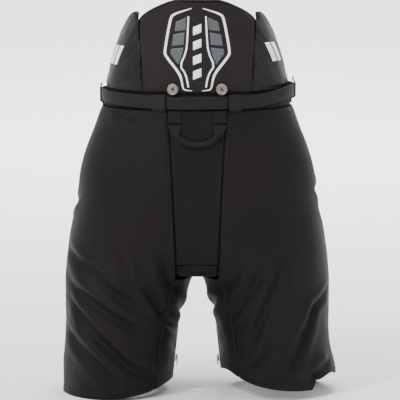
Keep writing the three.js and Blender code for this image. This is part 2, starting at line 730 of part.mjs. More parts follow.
// ---- inner leg zips ----
function addZips() {
  const insideLeg = (height) => bodyPoint(-90, height, 0);
  const [low, high] = [shellBottom, zipLength - seamGap];
  const [start, end] = [insideLeg(low), insideLeg(high)];
  const lean = (start[0] - end[0]) / (high - low);
  const lineX = (height) => start[0] - lean * (height - low);
  // Tape with a raised chain of teeth along its middle, seen along the zip.
  const section = [
    [-6.6, 1.4], [6.6, 1.4], [6.6, 0.4], [2.6, 0.4], [2.6, -0.8], [-2.6, -0.8], [-2.6, 0.4],
    [-6.6, 0.4],
  ];
  const ringAt = (height) => section.map(([y, x]) => [lineX(height) + x, y, height]);
  addPair('zip_tape', loft([ringAt(low), ringAt(high)]), materials.webbing);

  const grip = 1.2; // gap from the line of the teeth to the slider
  const sliderLength = 11;
  const block = (h, y, x0, x1) => [
    [lineX(h) - x0, -y, h], [lineX(h) - x0, y, h], [lineX(h) - x1, y, h], [lineX(h) - x1, -y, h],
  ];
  const ends = [zipSliderHeight - sliderLength / 2, zipSliderHeight + sliderLength / 2];
  const slider = loft([block(ends[0], 4, grip, grip + 2.2), block(ends[1], 3.2, grip, grip + 2.2)]);
  addPair('zip_slider', slider, materials.steel);
  const pullTop = zipSliderHeight + 2;
  const pull = loft([
    block(pullTop, 2.2, grip + 2.6, grip + 4), block(pullTop - 5, 2.2, grip + 2.6, grip + 4),
    block(pullTop - 7, 3.4, grip + 2.6, grip + 4), block(pullTop - pullLength, 3, grip + 2.6, grip + 4),
  ]);
  addPair('zip_pull', pull, materials.steel);
}

addShell();
addCentreStrips();
addBands();
addLining();
addCappedPad('thigh_pad', thighPadAngles, [thighPadHemClearance, crotchHeight + thighPadOverlap]);
addCappedPad('hip_pad', hipPadAngles, [
  crotchHeight + thighPadOverlap + padSpacing, waistHeight - hipPadWaistClearance,
]);
addTailbonePad();
addBackSupport();
addBelt();
addBuckle();
addHandle();
addButtons();
addFly();
addZips();

// The origin stays midway between the foremost and rearmost points.
const reach = new THREE.Box3().setFromObject(pants);
pants.position.y = -(reach.min.y + reach.max.y) / 2;

export default pants;
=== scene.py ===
"""Padded ice hockey pants: the visible pieces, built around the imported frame.

Metres, +Z up, +Y to the wearer's front, +X to the wearer's right. Most pieces follow one
body surface: on each side a level section of it is an ellipse, and an angle on it runs
from the back (0) over the outer side (90) to the front (180). Negative angles are the
inner leg, and the left side is the mirror image of the right.
"""
import json

import bmesh
import bpy
import numpy as np
from bpy.props import FloatProperty, FloatVectorProperty, PointerProperty
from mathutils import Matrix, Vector

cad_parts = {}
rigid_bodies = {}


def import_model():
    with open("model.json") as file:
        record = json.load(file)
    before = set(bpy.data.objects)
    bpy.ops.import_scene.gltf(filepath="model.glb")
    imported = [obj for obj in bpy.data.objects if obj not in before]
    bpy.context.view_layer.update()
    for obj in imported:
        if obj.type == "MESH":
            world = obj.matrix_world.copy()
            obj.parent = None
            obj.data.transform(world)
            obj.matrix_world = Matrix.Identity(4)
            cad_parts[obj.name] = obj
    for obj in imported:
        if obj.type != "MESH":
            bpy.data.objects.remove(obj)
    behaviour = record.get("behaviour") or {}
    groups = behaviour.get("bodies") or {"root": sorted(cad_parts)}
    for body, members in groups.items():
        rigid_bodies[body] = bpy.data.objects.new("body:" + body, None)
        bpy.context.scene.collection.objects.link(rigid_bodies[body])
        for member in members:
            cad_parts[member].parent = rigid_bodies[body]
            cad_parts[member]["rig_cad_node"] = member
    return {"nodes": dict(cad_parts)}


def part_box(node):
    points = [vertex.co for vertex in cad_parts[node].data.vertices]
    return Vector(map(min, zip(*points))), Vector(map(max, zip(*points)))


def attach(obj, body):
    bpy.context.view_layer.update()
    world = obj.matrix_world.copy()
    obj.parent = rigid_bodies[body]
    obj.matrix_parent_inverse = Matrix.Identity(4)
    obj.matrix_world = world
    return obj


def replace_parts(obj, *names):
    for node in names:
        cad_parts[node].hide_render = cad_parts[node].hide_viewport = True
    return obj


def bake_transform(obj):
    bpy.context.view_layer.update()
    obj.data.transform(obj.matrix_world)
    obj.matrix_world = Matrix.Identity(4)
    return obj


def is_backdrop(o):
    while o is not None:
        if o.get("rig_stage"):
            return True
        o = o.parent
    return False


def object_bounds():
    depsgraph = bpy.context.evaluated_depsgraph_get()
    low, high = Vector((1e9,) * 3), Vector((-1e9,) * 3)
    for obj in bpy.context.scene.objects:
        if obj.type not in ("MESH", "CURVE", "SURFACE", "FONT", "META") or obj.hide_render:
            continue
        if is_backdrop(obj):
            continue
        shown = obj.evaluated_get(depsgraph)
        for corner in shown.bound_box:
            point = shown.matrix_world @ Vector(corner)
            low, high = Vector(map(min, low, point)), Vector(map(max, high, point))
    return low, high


bl_info = {
    "name": "Hockey pants",
    "version": (1, 0, 0),
    "blender": (4, 5, 0),
    "location": "View3D > Sidebar > Hockey pants",
    "description": "Builds padded ice hockey pants around a packed frame",
    "category": "Add Mesh",
}

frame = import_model()
CAD_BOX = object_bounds()
MM = 0.001
SIDES = {"right": 1, "left": -1}


# ---- sizes, taken from the frame ----
def low(node):
    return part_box(node)[0]


def high(node):
    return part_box(node)[1]


SEAM_GAP = 0.4 * MM
CROTCH = high("inner_leg_panel_right").z + SEAM_GAP
SHELL_TOP = high("back_panel_right").z
BAND_BOTTOM, BAND_TOP = low("waistband").z, high("waistband").z
BELT_LOW, BELT_HIGH = low("belt_webbing").z, high("belt_webbing").z
BELT_MIDDLE = (BELT_LOW + BELT_HIGH) / 2
WAIST = BELT_MIDDLE - 5 * MM
SUPPORT_BOTTOM, SUPPORT_TOP = low("spine_pad_cover").z, high("spine_pad_cover").z
FLY_BOTTOM = low("fly_facing").z - SEAM_GAP
GUSSET_BOTTOM = low("back_gusset").z - SEAM_GAP
ZIP_TOP = high("zip_tape_right").z + SEAM_GAP
RISE = WAIST - CROTCH
SHELL_THICKNESS = 1.8 * MM
LINING_INSET = 20.2 * MM
SIDE_SEAM = 98.0
FORWARD_SHIFT = 1.12 * MM
GIRTH = 0.105  # mean radius of a leg's section, to turn angles into lengths
GUSSET_TOP_HALF, GUSSET_FORK_HALF = 46 * MM, 34 * MM
FLY_HALF = 20 * MM
ZIP_HALF = 7 * MM


# ---- the body surface ----
def through(stations):
    """Smooth curve through (position, value) stations: cubic pieces whose slope at each
    station is that of the line from the one before to the one after."""
    place, value = np.array(stations, float).T
    before = np.r_[0, np.arange(len(place) - 1)]
    after = np.r_[np.arange(1, len(place)), len(place) - 1]
    slope = (value[after] - value[before]) / (place[after] - place[before])

    def curve(position):
        position = np.clip(position, place[0], place[-1])
        i = np.clip(np.searchsorted(place, position, side="right") - 1, 0, len(place) - 2)
        span = place[i + 1] - place[i]
        t = (position - place[i]) / span
        ease = t * t * (3 - 2 * t)
        pulls = t * (1 - t) ** 2 * slope[i] + t * t * (t - 1) * slope[i + 1]
        return value[i] * (1 - ease) + value[i + 1] * ease + pulls * span

    return curve


def on_leg(share):
    return CROTCH * share


def on_rise(share):
    return CROTCH + RISE * share


def on_back(share):
    return WAIST + (SUPPORT_TOP - WAIST) * share


def lerp(a, b, t):
    return a + (b - a) * t


WAIST_HALF, HIP_HALF, LEG_HALF, HEM_HALF, TOP_HALF = 149 * MM, 190 * MM, 210 * MM, 214 * MM, 104 * MM
WAIST_DEEP, SEAT_DEEP, HEM_DEEP, TOP_DEEP = 105 * MM, 122 * MM, 112 * MM, 97 * MM
HEM_GAP, FORK_GAP = 42 * MM, 2.5 * MM

half_width = through([
    (0, HEM_HALF), (on_leg(0.24), HEM_HALF), (on_leg(0.5), LEG_HALF), (on_leg(1), LEG_HALF - 0.5 * MM),
    (on_rise(0.25), lerp(LEG_HALF, HIP_HALF, 0.4)), (on_rise(0.44), HIP_HALF),
    (on_rise(0.58), HIP_HALF - 3 * MM), (on_rise(0.72), lerp(WAIST_HALF, HIP_HALF, 0.69)),
    (on_rise(0.87), lerp(WAIST_HALF, HIP_HALF, 0.3)), (WAIST, WAIST_HALF),
    (on_back(0.25), lerp(WAIST_HALF, TOP_HALF, 0.18)), (on_back(0.5), lerp(WAIST_HALF, TOP_HALF, 0.42)),
    (on_back(0.75), lerp(WAIST_HALF, TOP_HALF, 0.75)), (SUPPORT_TOP, TOP_HALF),
])
centre_line = through([
    (0, (HEM_HALF + HEM_GAP) / 2), (on_leg(0.5), (LEG_HALF + HEM_GAP) / 2 - 5 * MM),
    (on_leg(0.89), (LEG_HALF + FORK_GAP) / 2 + 5.5 * MM), (on_leg(1), (LEG_HALF + FORK_GAP) / 2),
    (on_rise(0.1), 88 * MM), (on_rise(0.25), 60 * MM), (on_rise(0.44), 36 * MM),
    (on_rise(0.58), 20 * MM), (on_rise(0.72), 9 * MM), (on_rise(0.87), 2 * MM), (WAIST, 0),
    (SUPPORT_TOP, 0),
])
half_depth = through([
    (0, HEM_DEEP), (on_leg(0.5), lerp(HEM_DEEP, SEAT_DEEP, 0.25)),
    (on_leg(1), lerp(HEM_DEEP, SEAT_DEEP, 0.75)), (on_rise(0.36), SEAT_DEEP),
    (on_rise(0.72), lerp(SEAT_DEEP, WAIST_DEEP, 0.4)), (WAIST, WAIST_DEEP),
    (on_back(0.4), lerp(WAIST_DEEP, TOP_DEEP, 0.3)), (SUPPORT_TOP, TOP_DEEP),
])
forward = through([(0, 4 * MM), (on_leg(1), 0), (on_rise(0.36), -3 * MM), (WAIST, 0), (SUPPORT_TOP, 2 * MM)])
gusset_half = through([
    (CROTCH, GUSSET_FORK_HALF), (on_rise(0.25), GUSSET_FORK_HALF + 1 * MM), (WAIST, GUSSET_TOP_HALF),
])
front_half = through([(CROTCH, GUSSET_FORK_HALF), (FLY_BOTTOM, FLY_HALF), (WAIST, FLY_HALF)])
strip_bulge = through([
    (CROTCH, -6 * MM), (on_rise(0.25), -3 * MM), (on_rise(0.44), 0.5 * MM), (on_rise(0.72), 3.5 * MM),
    (WAIST, 5 * MM),
])


def body_point(angle, height, offset=0.0, sign=1):
    """Point of the body surface: the section's middle plus its half width times the sine
    across, minus its half depth times the cosine back, both grown by the offset."""
    angle, height, offset = np.broadcast_arrays(np.radians(angle), height, offset)
    middle = centre_line(height)
    across = half_width(height) - middle + offset
    deep = half_depth(height) + offset
    x = sign * (middle + across * np.sin(angle))
    return np.stack([x, FORWARD_SHIFT + forward(height) - deep * np.cos(angle), height], -1)


def angle_at(x, height, offset=0.0):
    """Angle, on the back half of a section, at which the surface stands x from the middle."""
    middle = centre_line(height)
    across = half_width(height) - middle + offset
    return np.degrees(np.arcsin(np.clip((np.abs(x) - middle) / across, -1, 1)))


def back_point(x, height, offset=0.0):
    point = body_point(angle_at(x, height, offset), height, offset)
    point[..., 0] = x
    return point


def front_point(x, height, offset=0.0):
    point = body_point(180 - angle_at(x, height, offset), height, offset)
    point[..., 0] = x
    return point


def gusset_point(x, height, offset=0.0):
    """Centre strip of the back: the body surface at its long edges, and a parabola between."""
    half = gusset_half(height)
    point = back_point(half, height)
    bulge = strip_bulge(height) * (1 - (x / half) ** 2)
    point[..., 1] -= bulge + offset
    point[..., 0] = x
    return point


def front_strip_point(x, height, offset=0.0):
    half = front_half(height)
    point = front_point(half, height)
    point[..., 1] += np.maximum(strip_bulge(height), 0) * 0.3 * (1 - (x / FLY_HALF) ** 2) + offset
    point[..., 0] = x
    return point


def front_face(x, height, offset=0.0):
    """Front of the pants at x: the centre strip, and past its edge the panel beside it."""
    x, height, offset = np.broadcast_arrays(x, height, offset)
    strip = front_strip_point(x, height, offset)
    panel = front_point(x, height, offset)
    inside = np.clip((front_half(height) - np.abs(x)) / (4 * MM) + 0.5, 0, 1)[..., None]
    return panel * (1 - inside) + strip * inside


FORK_ANGLE = float(angle_at(GUSSET_FORK_HALF + SEAM_GAP, CROTCH))


def back_seam(height):
    above = angle_at(gusset_half(height) + SEAM_GAP, height)
    return np.where(height < CROTCH, FORK_ANGLE, above)


def front_seam(height):
    above = 180 - angle_at(front_half(height) + SEAM_GAP, height)
    return np.where(height < CROTCH, 180 - FORK_ANGLE, above)


# ---- small number helpers ----
def turned(angle):
    """The same angle between -180 and 180 degrees."""
    return (np.asarray(angle) + 180) % 360 - 180


def bump(distance, reach):
    """Bell curve: 1 in the middle, about a third at one reach away."""
    return np.exp(-((distance / reach) ** 2))


def ease(t):
    t = np.clip(t, 0, 1)
    return t * t * (3 - 2 * t)


def hashed(i, j, seed):
    """A repeatable number from 0 to 1 for each point of a whole-number lattice."""
    mixed = np.sin(i * 127.1 + j * 311.7 + seed * 74.7) * 43758.5453
    return mixed - np.floor(mixed)


def noise(u, v, seed):
    """Smooth noise from -1 to 1: lattice numbers, blended across each square."""
    i, j = np.floor(u), np.floor(v)
    s, t = ease(u - i), ease(v - j)
    near = lerp(hashed(i, j, seed), hashed(i + 1, j, seed), s)
    far = lerp(hashed(i, j + 1, seed), hashed(i + 1, j + 1, seed), s)
    return 2 * lerp(near, far, t) - 1


# ---- cloth folds of the shell ----
def across_back(*points):
    """Route of a fold from (x, height) points in millimetres on the back of a leg."""
    x, z = np.array(points, float).T * MM
    return np.stack([angle_at(x, z), z], -1)


def round_leg(*points):
    """Route of a fold from (angle, height in millimetres) points."""
    return np.array(points, float) * (1, MM)


# Each fold: its route, how deep its valley is and how wide, in millimetres.
FOLDS = {
    "left": [
        (across_back((207, 192), (158, 150), (101, 113), (62, 102)), 5.5, 9),
        (across_back((208, 240), (165, 203), (141, 179), (104, 155), (78, 126)), 5, 9),
        (across_back((206, 175), (154, 96), (104, 49), (51, 23)), 6, 10),
        (across_back((208, 112), (165, 64), (115, 11)), 5, 10),
        (across_back((115, 263), (85, 187), (46, 118), (32, 95)), 5, 8),
        (across_back((78, 253), (43, 190), (24, 158)), 3.5, 7),
        (across_back((140, 262), (112, 208), (84, 160)), 3, 8),
        (across_back((133, 452), (115, 444), (96, 432)), 2.2, 6),
        (round_leg((118, 262), (138, 215), (165, 162), (186, 128)), 4.5, 9),
        (round_leg((104, 205), (128, 158), (160, 112), (190, 84)), 5, 10),
        (round_leg((98, 96), (128, 58), (158, 22)), 4.5, 10),
        (round_leg((150, 268), (168, 232), (184, 196)), 3, 7),
        (round_leg((76, 318), (97, 300), (118, 306)), 2.6, 8),
        (round_leg((-58, 152), (-92, 124), (-132, 92)), 3.5, 9),
        (round_leg((-62, 84), (-100, 62), (-140, 58)), 3, 9),
    ],
    "right": [
        (across_back((149, 252), (115, 165), (96, 115), (74, 73)), 5, 9),
        (across_back((112, 228), (88, 182), (48, 118)), 4, 8),
        (across_back((189, 151), (170, 104), (149, 48), (140, 24)), 5, 10),
        (across_back((208, 170), (186, 148), (172, 120)), 3.5, 8),
        (across_back((209, 52), (189, 39), (172, 30)), 4, 9),
        (across_back((84, 250), (56, 196), (30, 160)), 3, 8),
        (across_back((128, 96), (98, 52), (66, 38)), 3.5, 10),
        (round_leg((112, 240), (136, 196), (162, 150), (188, 118)), 4.5, 9),
        (round_leg((103, 168), (130, 128), (162, 86), (186, 60)), 5, 10),
        (round_leg((120, 92), (142, 62), (166, 30)), 4, 10),
        (round_leg((146, 280), (166, 240), (182, 204)), 3, 7),
        (round_leg((78, 332), (98, 316), (116, 322)), 2.6, 8),
        (round_leg((-56, 160), (-90, 134), (-130, 108)), 3.5, 9),
        (round_leg((-64, 76), (-104, 70), (-146, 50)), 3, 9),
    ],
}
HEM_INNER_RISE = {"left": 20 * MM, "right": 34 * MM}
HEM_INNER_SPREAD = 62.0
HEM_CORNER_RISE = 23 * MM
HEM_BACK_RISE = 12 * MM
HEM_FOLD = 13 * MM
SHELL_BOTTOM = 0.6 * MM


def crease(angle, height, route, depth, reach):
    """Height change near a fold: a bell-shaped valley along the route with a rounded ridge on
    each side, the lower one fuller, both fading out over the route's two ends."""
    spans = np.diff(route, axis=0) * (np.radians(1) * GIRTH, 1)
    lengths = np.hypot(*spans.T)
    total = lengths.sum()
    s = np.radians(turned(angle - route[0, 0])) * GIRTH
    starts = np.r_[[(0, 0)], np.cumsum(spans, axis=0)[:-1]]
    best, side, along = np.full(np.shape(s), 9.0), np.zeros(np.shape(s)), np.zeros(np.shape(s))
    passed = 0
    for start, span, length in zip(starts, spans, lengths):
        ds, dz = s - start[0], height - route[0, 1] - start[1]
        t = np.clip((ds * span[0] + dz * span[1]) / length**2, 0, 1)
        gap = np.hypot(ds - t * span[0], dz - t * span[1])
        nearer = gap < best
        side = np.where(nearer, np.sign(ds * span[1] - dz * span[0]), side)
        along = np.where(nearer, passed + t * length, along)
        best = np.where(nearer, gap, best)
        passed += length
    x = best * side / reach
    fade = ease(along / (0.3 * total)) * ease((total - along) / (0.3 * total))
    shape = -bump(x, 0.85) + 0.62 * bump(x - 2.0, 1.05) + 0.4 * bump(x + 2.0, 1.05)
    return depth * fade * shape


def shell_offset(side, angle, height):
    """How far the cloth of the shell stands out from the body surface: the folds, a slow
    unevenness, puckers under the belt, and a dip along each seam. The cloth lies still at the
    zip, and it sinks little where a pad is behind it."""
    shape = context_shape()
    offset = np.zeros(np.broadcast(angle, height).shape)
    for route, depth, reach in FOLDS[side]:
        offset = offset + crease(angle, height, route, 1.3 * depth * MM * shape.fold_depth,
                                 0.85 * reach * MM)
    seed = 3 if side == "right" else 8
    s = np.radians(angle) * GIRTH
    lower = 0.35 + 0.65 * (1 - ease((height - on_rise(0.1)) / (0.5 * RISE)))
    offset += 1.3 * MM * lower * noise(s / 0.048, height / 0.065, seed)
    offset += 0.5 * MM * lower * noise(s / 0.021 + 0.6 * height / 0.03, height / 0.03, seed + 1)
    pucker = bump(SHELL_TOP - height, 22 * MM)
    offset += 0.9 * MM * pucker * noise(s / 0.013, height / 0.05, seed + 2)
    offset -= 1.2 * MM * bump(SHELL_TOP - height, 5 * MM)
    for seam, depth in ((SIDE_SEAM, 1.5), (back_seam(height), 1.3), (front_seam(height), 1.3)):
        gap = np.abs(np.radians(turned(angle - seam))) * GIRTH
        offset -= depth * MM * bump(gap, 2.2 * MM)
        offset += 0.35 * MM * bump(gap - 6 * MM, 3 * MM)
    gap = np.abs(np.radians(turned(angle + 90))) * GIRTH
    offset -= 1.2 * MM * bump(gap, 2 * MM) * ease((height - ZIP_TOP) / (8 * MM))
    above_hem = height - hem_height(side, angle)
    offset -= 0.8 * MM * bump(above_hem - HEM_FOLD, 1.1 * MM)
    offset += 0.7 * MM * ease((HEM_FOLD - above_hem) / (3 * MM))
    if side == "right":
        reach = bump(turned(angle - 92), 34) * bump(height - 34 * MM, 26 * MM)
        offset += 7 * MM * reach
        gathered = bump(turned(angle + 62), 30) * bump(height - 20 * MM, 40 * MM)
        offset -= 5 * MM * gathered
    else:
        offset -= 4 * MM * bump(turned(angle + 55), 34) * bump(height - 10 * MM, 34 * MM)
    offset = offset * (1 - bump(gap, 24 * MM) * ease((ZIP_TOP + 26 * MM - height) / (20 * MM)))
    away = turned(angle)
    padded = np.where(away > 0, ease((away - 66) / 26), ease((-away - 122) / 20))
    limit = lerp(9 * MM, 1.2 * MM, padded)
    return np.where(offset < 0, limit * np.tanh(offset / limit), offset)


def hem_height(side, angle):
    """Lower edge of the shell: it rises towards the inner leg. The back of the right leg is
    drawn up a little, and its outer corner is caught up above the side seam."""
    inner = HEM_INNER_RISE[side] * bump(turned(angle + 90), HEM_INNER_SPREAD)
    if side == "left":
        return SHELL_BOTTOM + inner
    away = turned(angle)
    corner = ease((away - 38) / 9) * (1 - ease((away - 100) / 34))
    behind = HEM_BACK_RISE * (1 - ease((np.abs(away - 4) - 58) / 40))
    return SHELL_BOTTOM + inner + behind + HEM_CORNER_RISE * np.where(away > 0, corner, 0)


# ---- meshes ----
def unit_grid(rows, columns, start=0.0, stop=1.0):
    """Shares across, in one row, and shares up, in one column."""
    return np.linspace(start, stop, columns)[None, :], np.linspace(start, stop, rows)[:, None]


def grid_quads(rows, columns, wrap=False):
    """Quads of a grid of points; wrap joins the last column to the first."""
    j = np.arange(rows - 1)[:, None]
    i = np.arange(columns if wrap else columns - 1)[None, :]
    j, i = np.broadcast_arrays(j, i)
    right = (i + 1) % columns
    quads = [j * columns + i, j * columns + right, (j + 1) * columns + right, (j + 1) * columns + i]
    return np.stack(quads, -1).reshape(-1, 4)


def closed_sheet(outer, inner):
    """Points and quads of a sheet between two like grids of points, with its four rims."""
    rows, columns = outer.shape[:2]
    layer = rows * columns
    index = np.arange(layer).reshape(rows, columns)
    loop = np.concatenate([index[0, :-1], index[:-1, -1], index[-1, :0:-1], index[:0:-1, 0]])
    after = np.roll(loop, -1)
    rims = np.stack([after, loop, loop + layer, after + layer], -1)
    quads = grid_quads(rows, columns)
    points = np.concatenate([outer.reshape(-1, 3), inner.reshape(-1, 3)])
    return points, np.concatenate([quads, quads[:, ::-1] + layer, rims])


def end_cap(first, count):
    """Quads across a closed ring with an even number of points."""
    i = np.arange(count // 2 - 1)
    last = count - 1
    return first + np.stack([i, i + 1, last - i - 1, last - i], -1)


def tube(rings, closed=False):
    """Points and quads of rings of points joined one after the other, and capped or closed."""
    count, around = rings.shape[:2]
    if closed:
        quads = grid_quads(count + 1, around, wrap=True) % (count * around)
        return rings.reshape(-1, 3), quads
    quads = grid_quads(count, around, wrap=True)
    caps = [end_cap(0, around)[:, ::-1], end_cap((count - 1) * around, around)]
    return rings.reshape(-1, 3), np.concatenate([quads, *caps])


def strap_profile(width, thickness, bulge=0.0, count=5):
    """Section of a flat strap with rounded long edges, as (across, out) points."""
    turn = np.linspace(-np.pi / 2, np.pi / 2, count)
    radius = thickness / 2
    right = np.stack([width / 2 - radius + radius * np.cos(turn), radius * np.sin(turn)], -1)
    flat = np.linspace(1, -1, 5)[1:-1] * (width / 2 - radius)
    top = np.stack([flat, radius + bulge * (1 - (2 * flat / width) ** 2)], -1)
    return np.concatenate([right, top, -right, -top])


def carried(path, across, out, profile):
    """Rings of a profile carried along a path: each point is the path's point plus the
    profile's first number across and its second number outwards."""
    return (path[:, None] + across[:, None] * profile[None, :, :1]
            + out[:, None] * profile[None, :, 1:])


def unit(vectors):
    return vectors / np.linalg.norm(vectors, axis=-1, keepdims=True)


def run_along(points):
    """Distance of each point from the first, along a line of points."""
    return np.r_[0, np.cumsum(np.linalg.norm(np.diff(points, axis=0), axis=1))]


def resampled(points, spacing, values=None):
    """Points, or the values given at them, at equal spacing along a line, as many as fit."""
    along = run_along(points)
    values = points if values is None else values
    wanted = np.arange(0, along[-1], spacing)
    return np.stack([np.interp(wanted, along, values[:, k]) for k in range(3)], -1)


def rounded_line(points, rounds=2):
    """A line of points with its corners cut off again and again, ends kept."""
    points = np.array(points, float)
    for _ in range(rounds):
        quarter = lerp(points[:-1], points[1:], 0.25)
        three = lerp(points[:-1], points[1:], 0.75)
        between = np.stack([quarter, three], 1).reshape(-1, points.shape[1])
        points = np.concatenate([points[:1], between, points[-1:]])
    return points


def signed_volume(points, quads):
    a, b, c, d = (points[quads[:, k]] for k in range(4))
    return float((a * np.cross(b, c)).sum() + (a * np.cross(c, d)).sum()) / 6


def gathered_parts(parts):
    """One list of points and one of quads from several."""
    counts = np.cumsum([0] + [len(points) for points, _ in parts])
    points = np.concatenate([points for points, _ in parts])
    return points, np.concatenate([quads + n for (_, quads), n in zip(parts, counts)])


def add_piece(name, part, finish, body="root", cloth=None, sharp=None):
    """A mesh object of the points and quads, faces out, riding on a body. cloth is the flat
    place of each point in metres, kept as its UV map; sharp is the angle that stays hard."""
    points, quads = part
    if signed_volume(points, quads) < 0:
        quads = quads[:, ::-1]
    mesh = bpy.data.meshes.new(name)
    mesh.vertices.add(len(points))
    mesh.vertices.foreach_set("co", points.astype(np.float32).ravel())
    mesh.loops.add(quads.size)
    mesh.loops.foreach_set("vertex_index", quads.astype(np.int32).ravel())
    mesh.polygons.add(len(quads))
    mesh.polygons.foreach_set("loop_start", np.arange(len(quads), dtype=np.int32) * 4)
    mesh.update(calc_edges=True)
    mesh.validate()
    mesh.polygons.foreach_set("use_smooth", np.ones(len(mesh.polygons), bool))
    if cloth is not None:
        layer = mesh.uv_layers.new(name=CLOTH_MAP)
        layer.uv.foreach_set("vector", cloth[quads].astype(np.float32).ravel())
    if sharp is not None:
        mesh.set_sharp_from_angle(angle=np.radians(sharp))
    obj = bpy.data.objects.new(name, mesh)
    bpy.context.scene.collection.objects.link(obj)
    dress(obj, finish, body)
    return obj


def dress(obj, finish, body=None):
    """Gives a piece its finish, and a body to ride on if it has none yet."""
    obj.data.materials.clear()
    obj.data.materials.append(FINISHES[finish]())
    if body is not None:
        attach(obj, body)


def add_cloth(name, outer, inner, finish, body="root", flat=None):
    """A closed sheet of cloth whose flat place is its length round and its height."""
    steps = np.linalg.norm(np.diff(outer, axis=1), axis=-1).mean(axis=0)
    across = np.r_[0, np.cumsum(steps)]
    rows = np.linalg.norm(np.diff(outer, axis=0), axis=-1).mean(axis=1)
    up = np.r_[0, np.cumsum(rows)]
    place = np.stack(np.broadcast_arrays(across[None, :], up[:, None]), -1).reshape(-1, 2)
    piece = add_piece(name, closed_sheet(outer, inner), finish, body, np.concatenate([place, place]))
    if flat is not None:
        middle = quad_area(outer)
    return piece


def quad_area(grid):
    a, b = grid[1:, 1:] - grid[:-1, :-1], grid[1:, :-1] - grid[:-1, 1:]
    return float(np.linalg.norm(np.cross(a, b), axis=-1).sum() / 2)


def apply_modifier(obj, modifier):
    with bpy.context.temp_override(object=obj, active_object=obj, selected_objects=[obj]):
        bpy.ops.object.modifier_apply(modifier=modifier.name)


def mesh_rows(items, key):
    """One row for each item of a mesh: its place or its normal."""
    values = np.zeros(len(items) * 3, np.float32)
    items.foreach_get(key, values)
    return values.reshape(-1, 3).astype(float)


def coordinates(obj):
    return mesh_rows(obj.data.vertices, "co")


def set_coordinates(obj, points):
    obj.data.vertices.foreach_set("co", points.astype(np.float32).ravel())
    obj.data.update()


def refined(name, finish, body, width, angle=28):
    """A copy of a CAD node, merged, its flat faces made whole, with rounded edges."""
    source = frame["nodes"][name]
    mesh = source.data.copy()
    build = bmesh.new()
    build.from_mesh(mesh)
    bmesh.ops.remove_doubles(build, verts=build.verts, dist=0.01 * MM)
    bmesh.ops.dissolve_limit(build, angle_limit=np.radians(1), verts=build.verts, edges=build.edges)
    build.to_mesh(mesh)
    build.free()
    obj = bpy.data.objects.new(name + "_finished", mesh)
    bpy.context.scene.collection.objects.link(obj)
    bevel = obj.modifiers.new("rounded", "BEVEL")
    bevel.width = width
    bevel.segments = 3
    bevel.limit_method = "ANGLE"
    bevel.angle_limit = np.radians(angle)
    bevel.harden_normals = False
    apply_modifier(obj, bevel)
    obj.data.polygons.foreach_set("use_smooth", np.ones(len(obj.data.polygons), bool))
    obj.data.set_sharp_from_angle(angle=np.radians(30))
    dress(obj, finish, body)
    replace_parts(obj, name)
    return obj


# ---- sewing ----
def surface_frame(at, angle, height, sign):
    """Points on a surface function of (angle, height), with its outward direction there."""
    step_angle, step_up = 0.4, 0.6 * MM
    here = at(angle, height)
    beside = at(angle + step_angle, height) - here
    above = at(angle, height + step_up) - here
    return here, unit(np.cross(beside, above)) * sign


def stitches(name, line, out, finish="thread", body="root", lift=0.15 * MM):
    """A row of thread stitches: each is a small eight-sided spindle lying along the line."""
    shape = context_shape()
    points = resampled(line, shape.stitch_pitch)
    outward = unit(resampled(line, shape.stitch_pitch, out))
    ahead = unit(np.gradient(points, axis=0))
    across = unit(np.cross(outward, ahead))
    half, thick = shape.stitch_length / 2, 0.28 * MM
    stations = np.array([(-1.0, 0.35), (-0.5, 1.0), (0.5, 1.0), (1.0, 0.35)])
    ring = np.array([(1, 0), (0, 1), (-1, 0), (0, -0.4)]) * thick
    base = points + outward * lift
    rings = (base[:, None, None] + ahead[:, None, None] * stations[None, :, None, :1] * half
             + across[:, None, None] * (stations[None, :, None, 1:] * ring[None, None, :, :1])
             + outward[:, None, None] * (stations[None, :, None, 1:] * ring[None, None, :, 1:]))
    _, quads = tube(np.zeros((4, 4, 3)))
    every = np.arange(len(points))[:, None, None] * 16 + quads[None]
    return add_piece(name, (rings.reshape(-1, 3), every.reshape(-1, 4)), finish, body)


def shell_at(side, offset=0.0):
    """Surface function of the shell cloth of one side."""
    sign = SIDES[side]
    return lambda angle, height: body_point(angle, height, shell_offset(side, angle, height) + offset, sign)


def shell_stitches(name, side, angle, height):
    angle, height = np.broadcast_arrays(np.asarray(angle, float), np.asarray(height, float))
    line, out = surface_frame(shell_at(side), angle, height, SIDES[side])
    return stitches(name, line, out)


# ---- finishes ----
CLOTH_MAP = "cloth"


def add_node(tree, kind, **settings):
    node = tree.nodes.new(kind)
    for key, value in settings.items():
        setattr(node, key, value)
    return node


def feed(tree, socket, value):
    if isinstance(value, bpy.types.NodeSocket):
        tree.links.new(value, socket)
    else:
        socket.default_value = value


def calc(tree, operation, *values):
    node = add_node(tree, "ShaderNodeMath", operation=operation)
    for socket, value in zip(node.inputs, values):
        feed(tree, socket, value)
    return node.outputs[0]


def effect_group(name, inputs, outputs, build):
    """A shader node group made once: build(tree, inputs, outputs) fills it."""
    if name in bpy.data.node_groups:
        return bpy.data.node_groups[name]
    group = bpy.data.node_groups.new(name, "ShaderNodeTree")
    for label, kind in inputs:
        group.interface.new_socket(label, in_out="INPUT", socket_type=kind)
    for label in outputs:
        group.interface.new_socket(label, in_out="OUTPUT", socket_type="NodeSocketFloat")
    start, end = add_node(group, "NodeGroupInput"), add_node(group, "NodeGroupOutput")
    build(group, start.outputs, end.inputs)
    return group


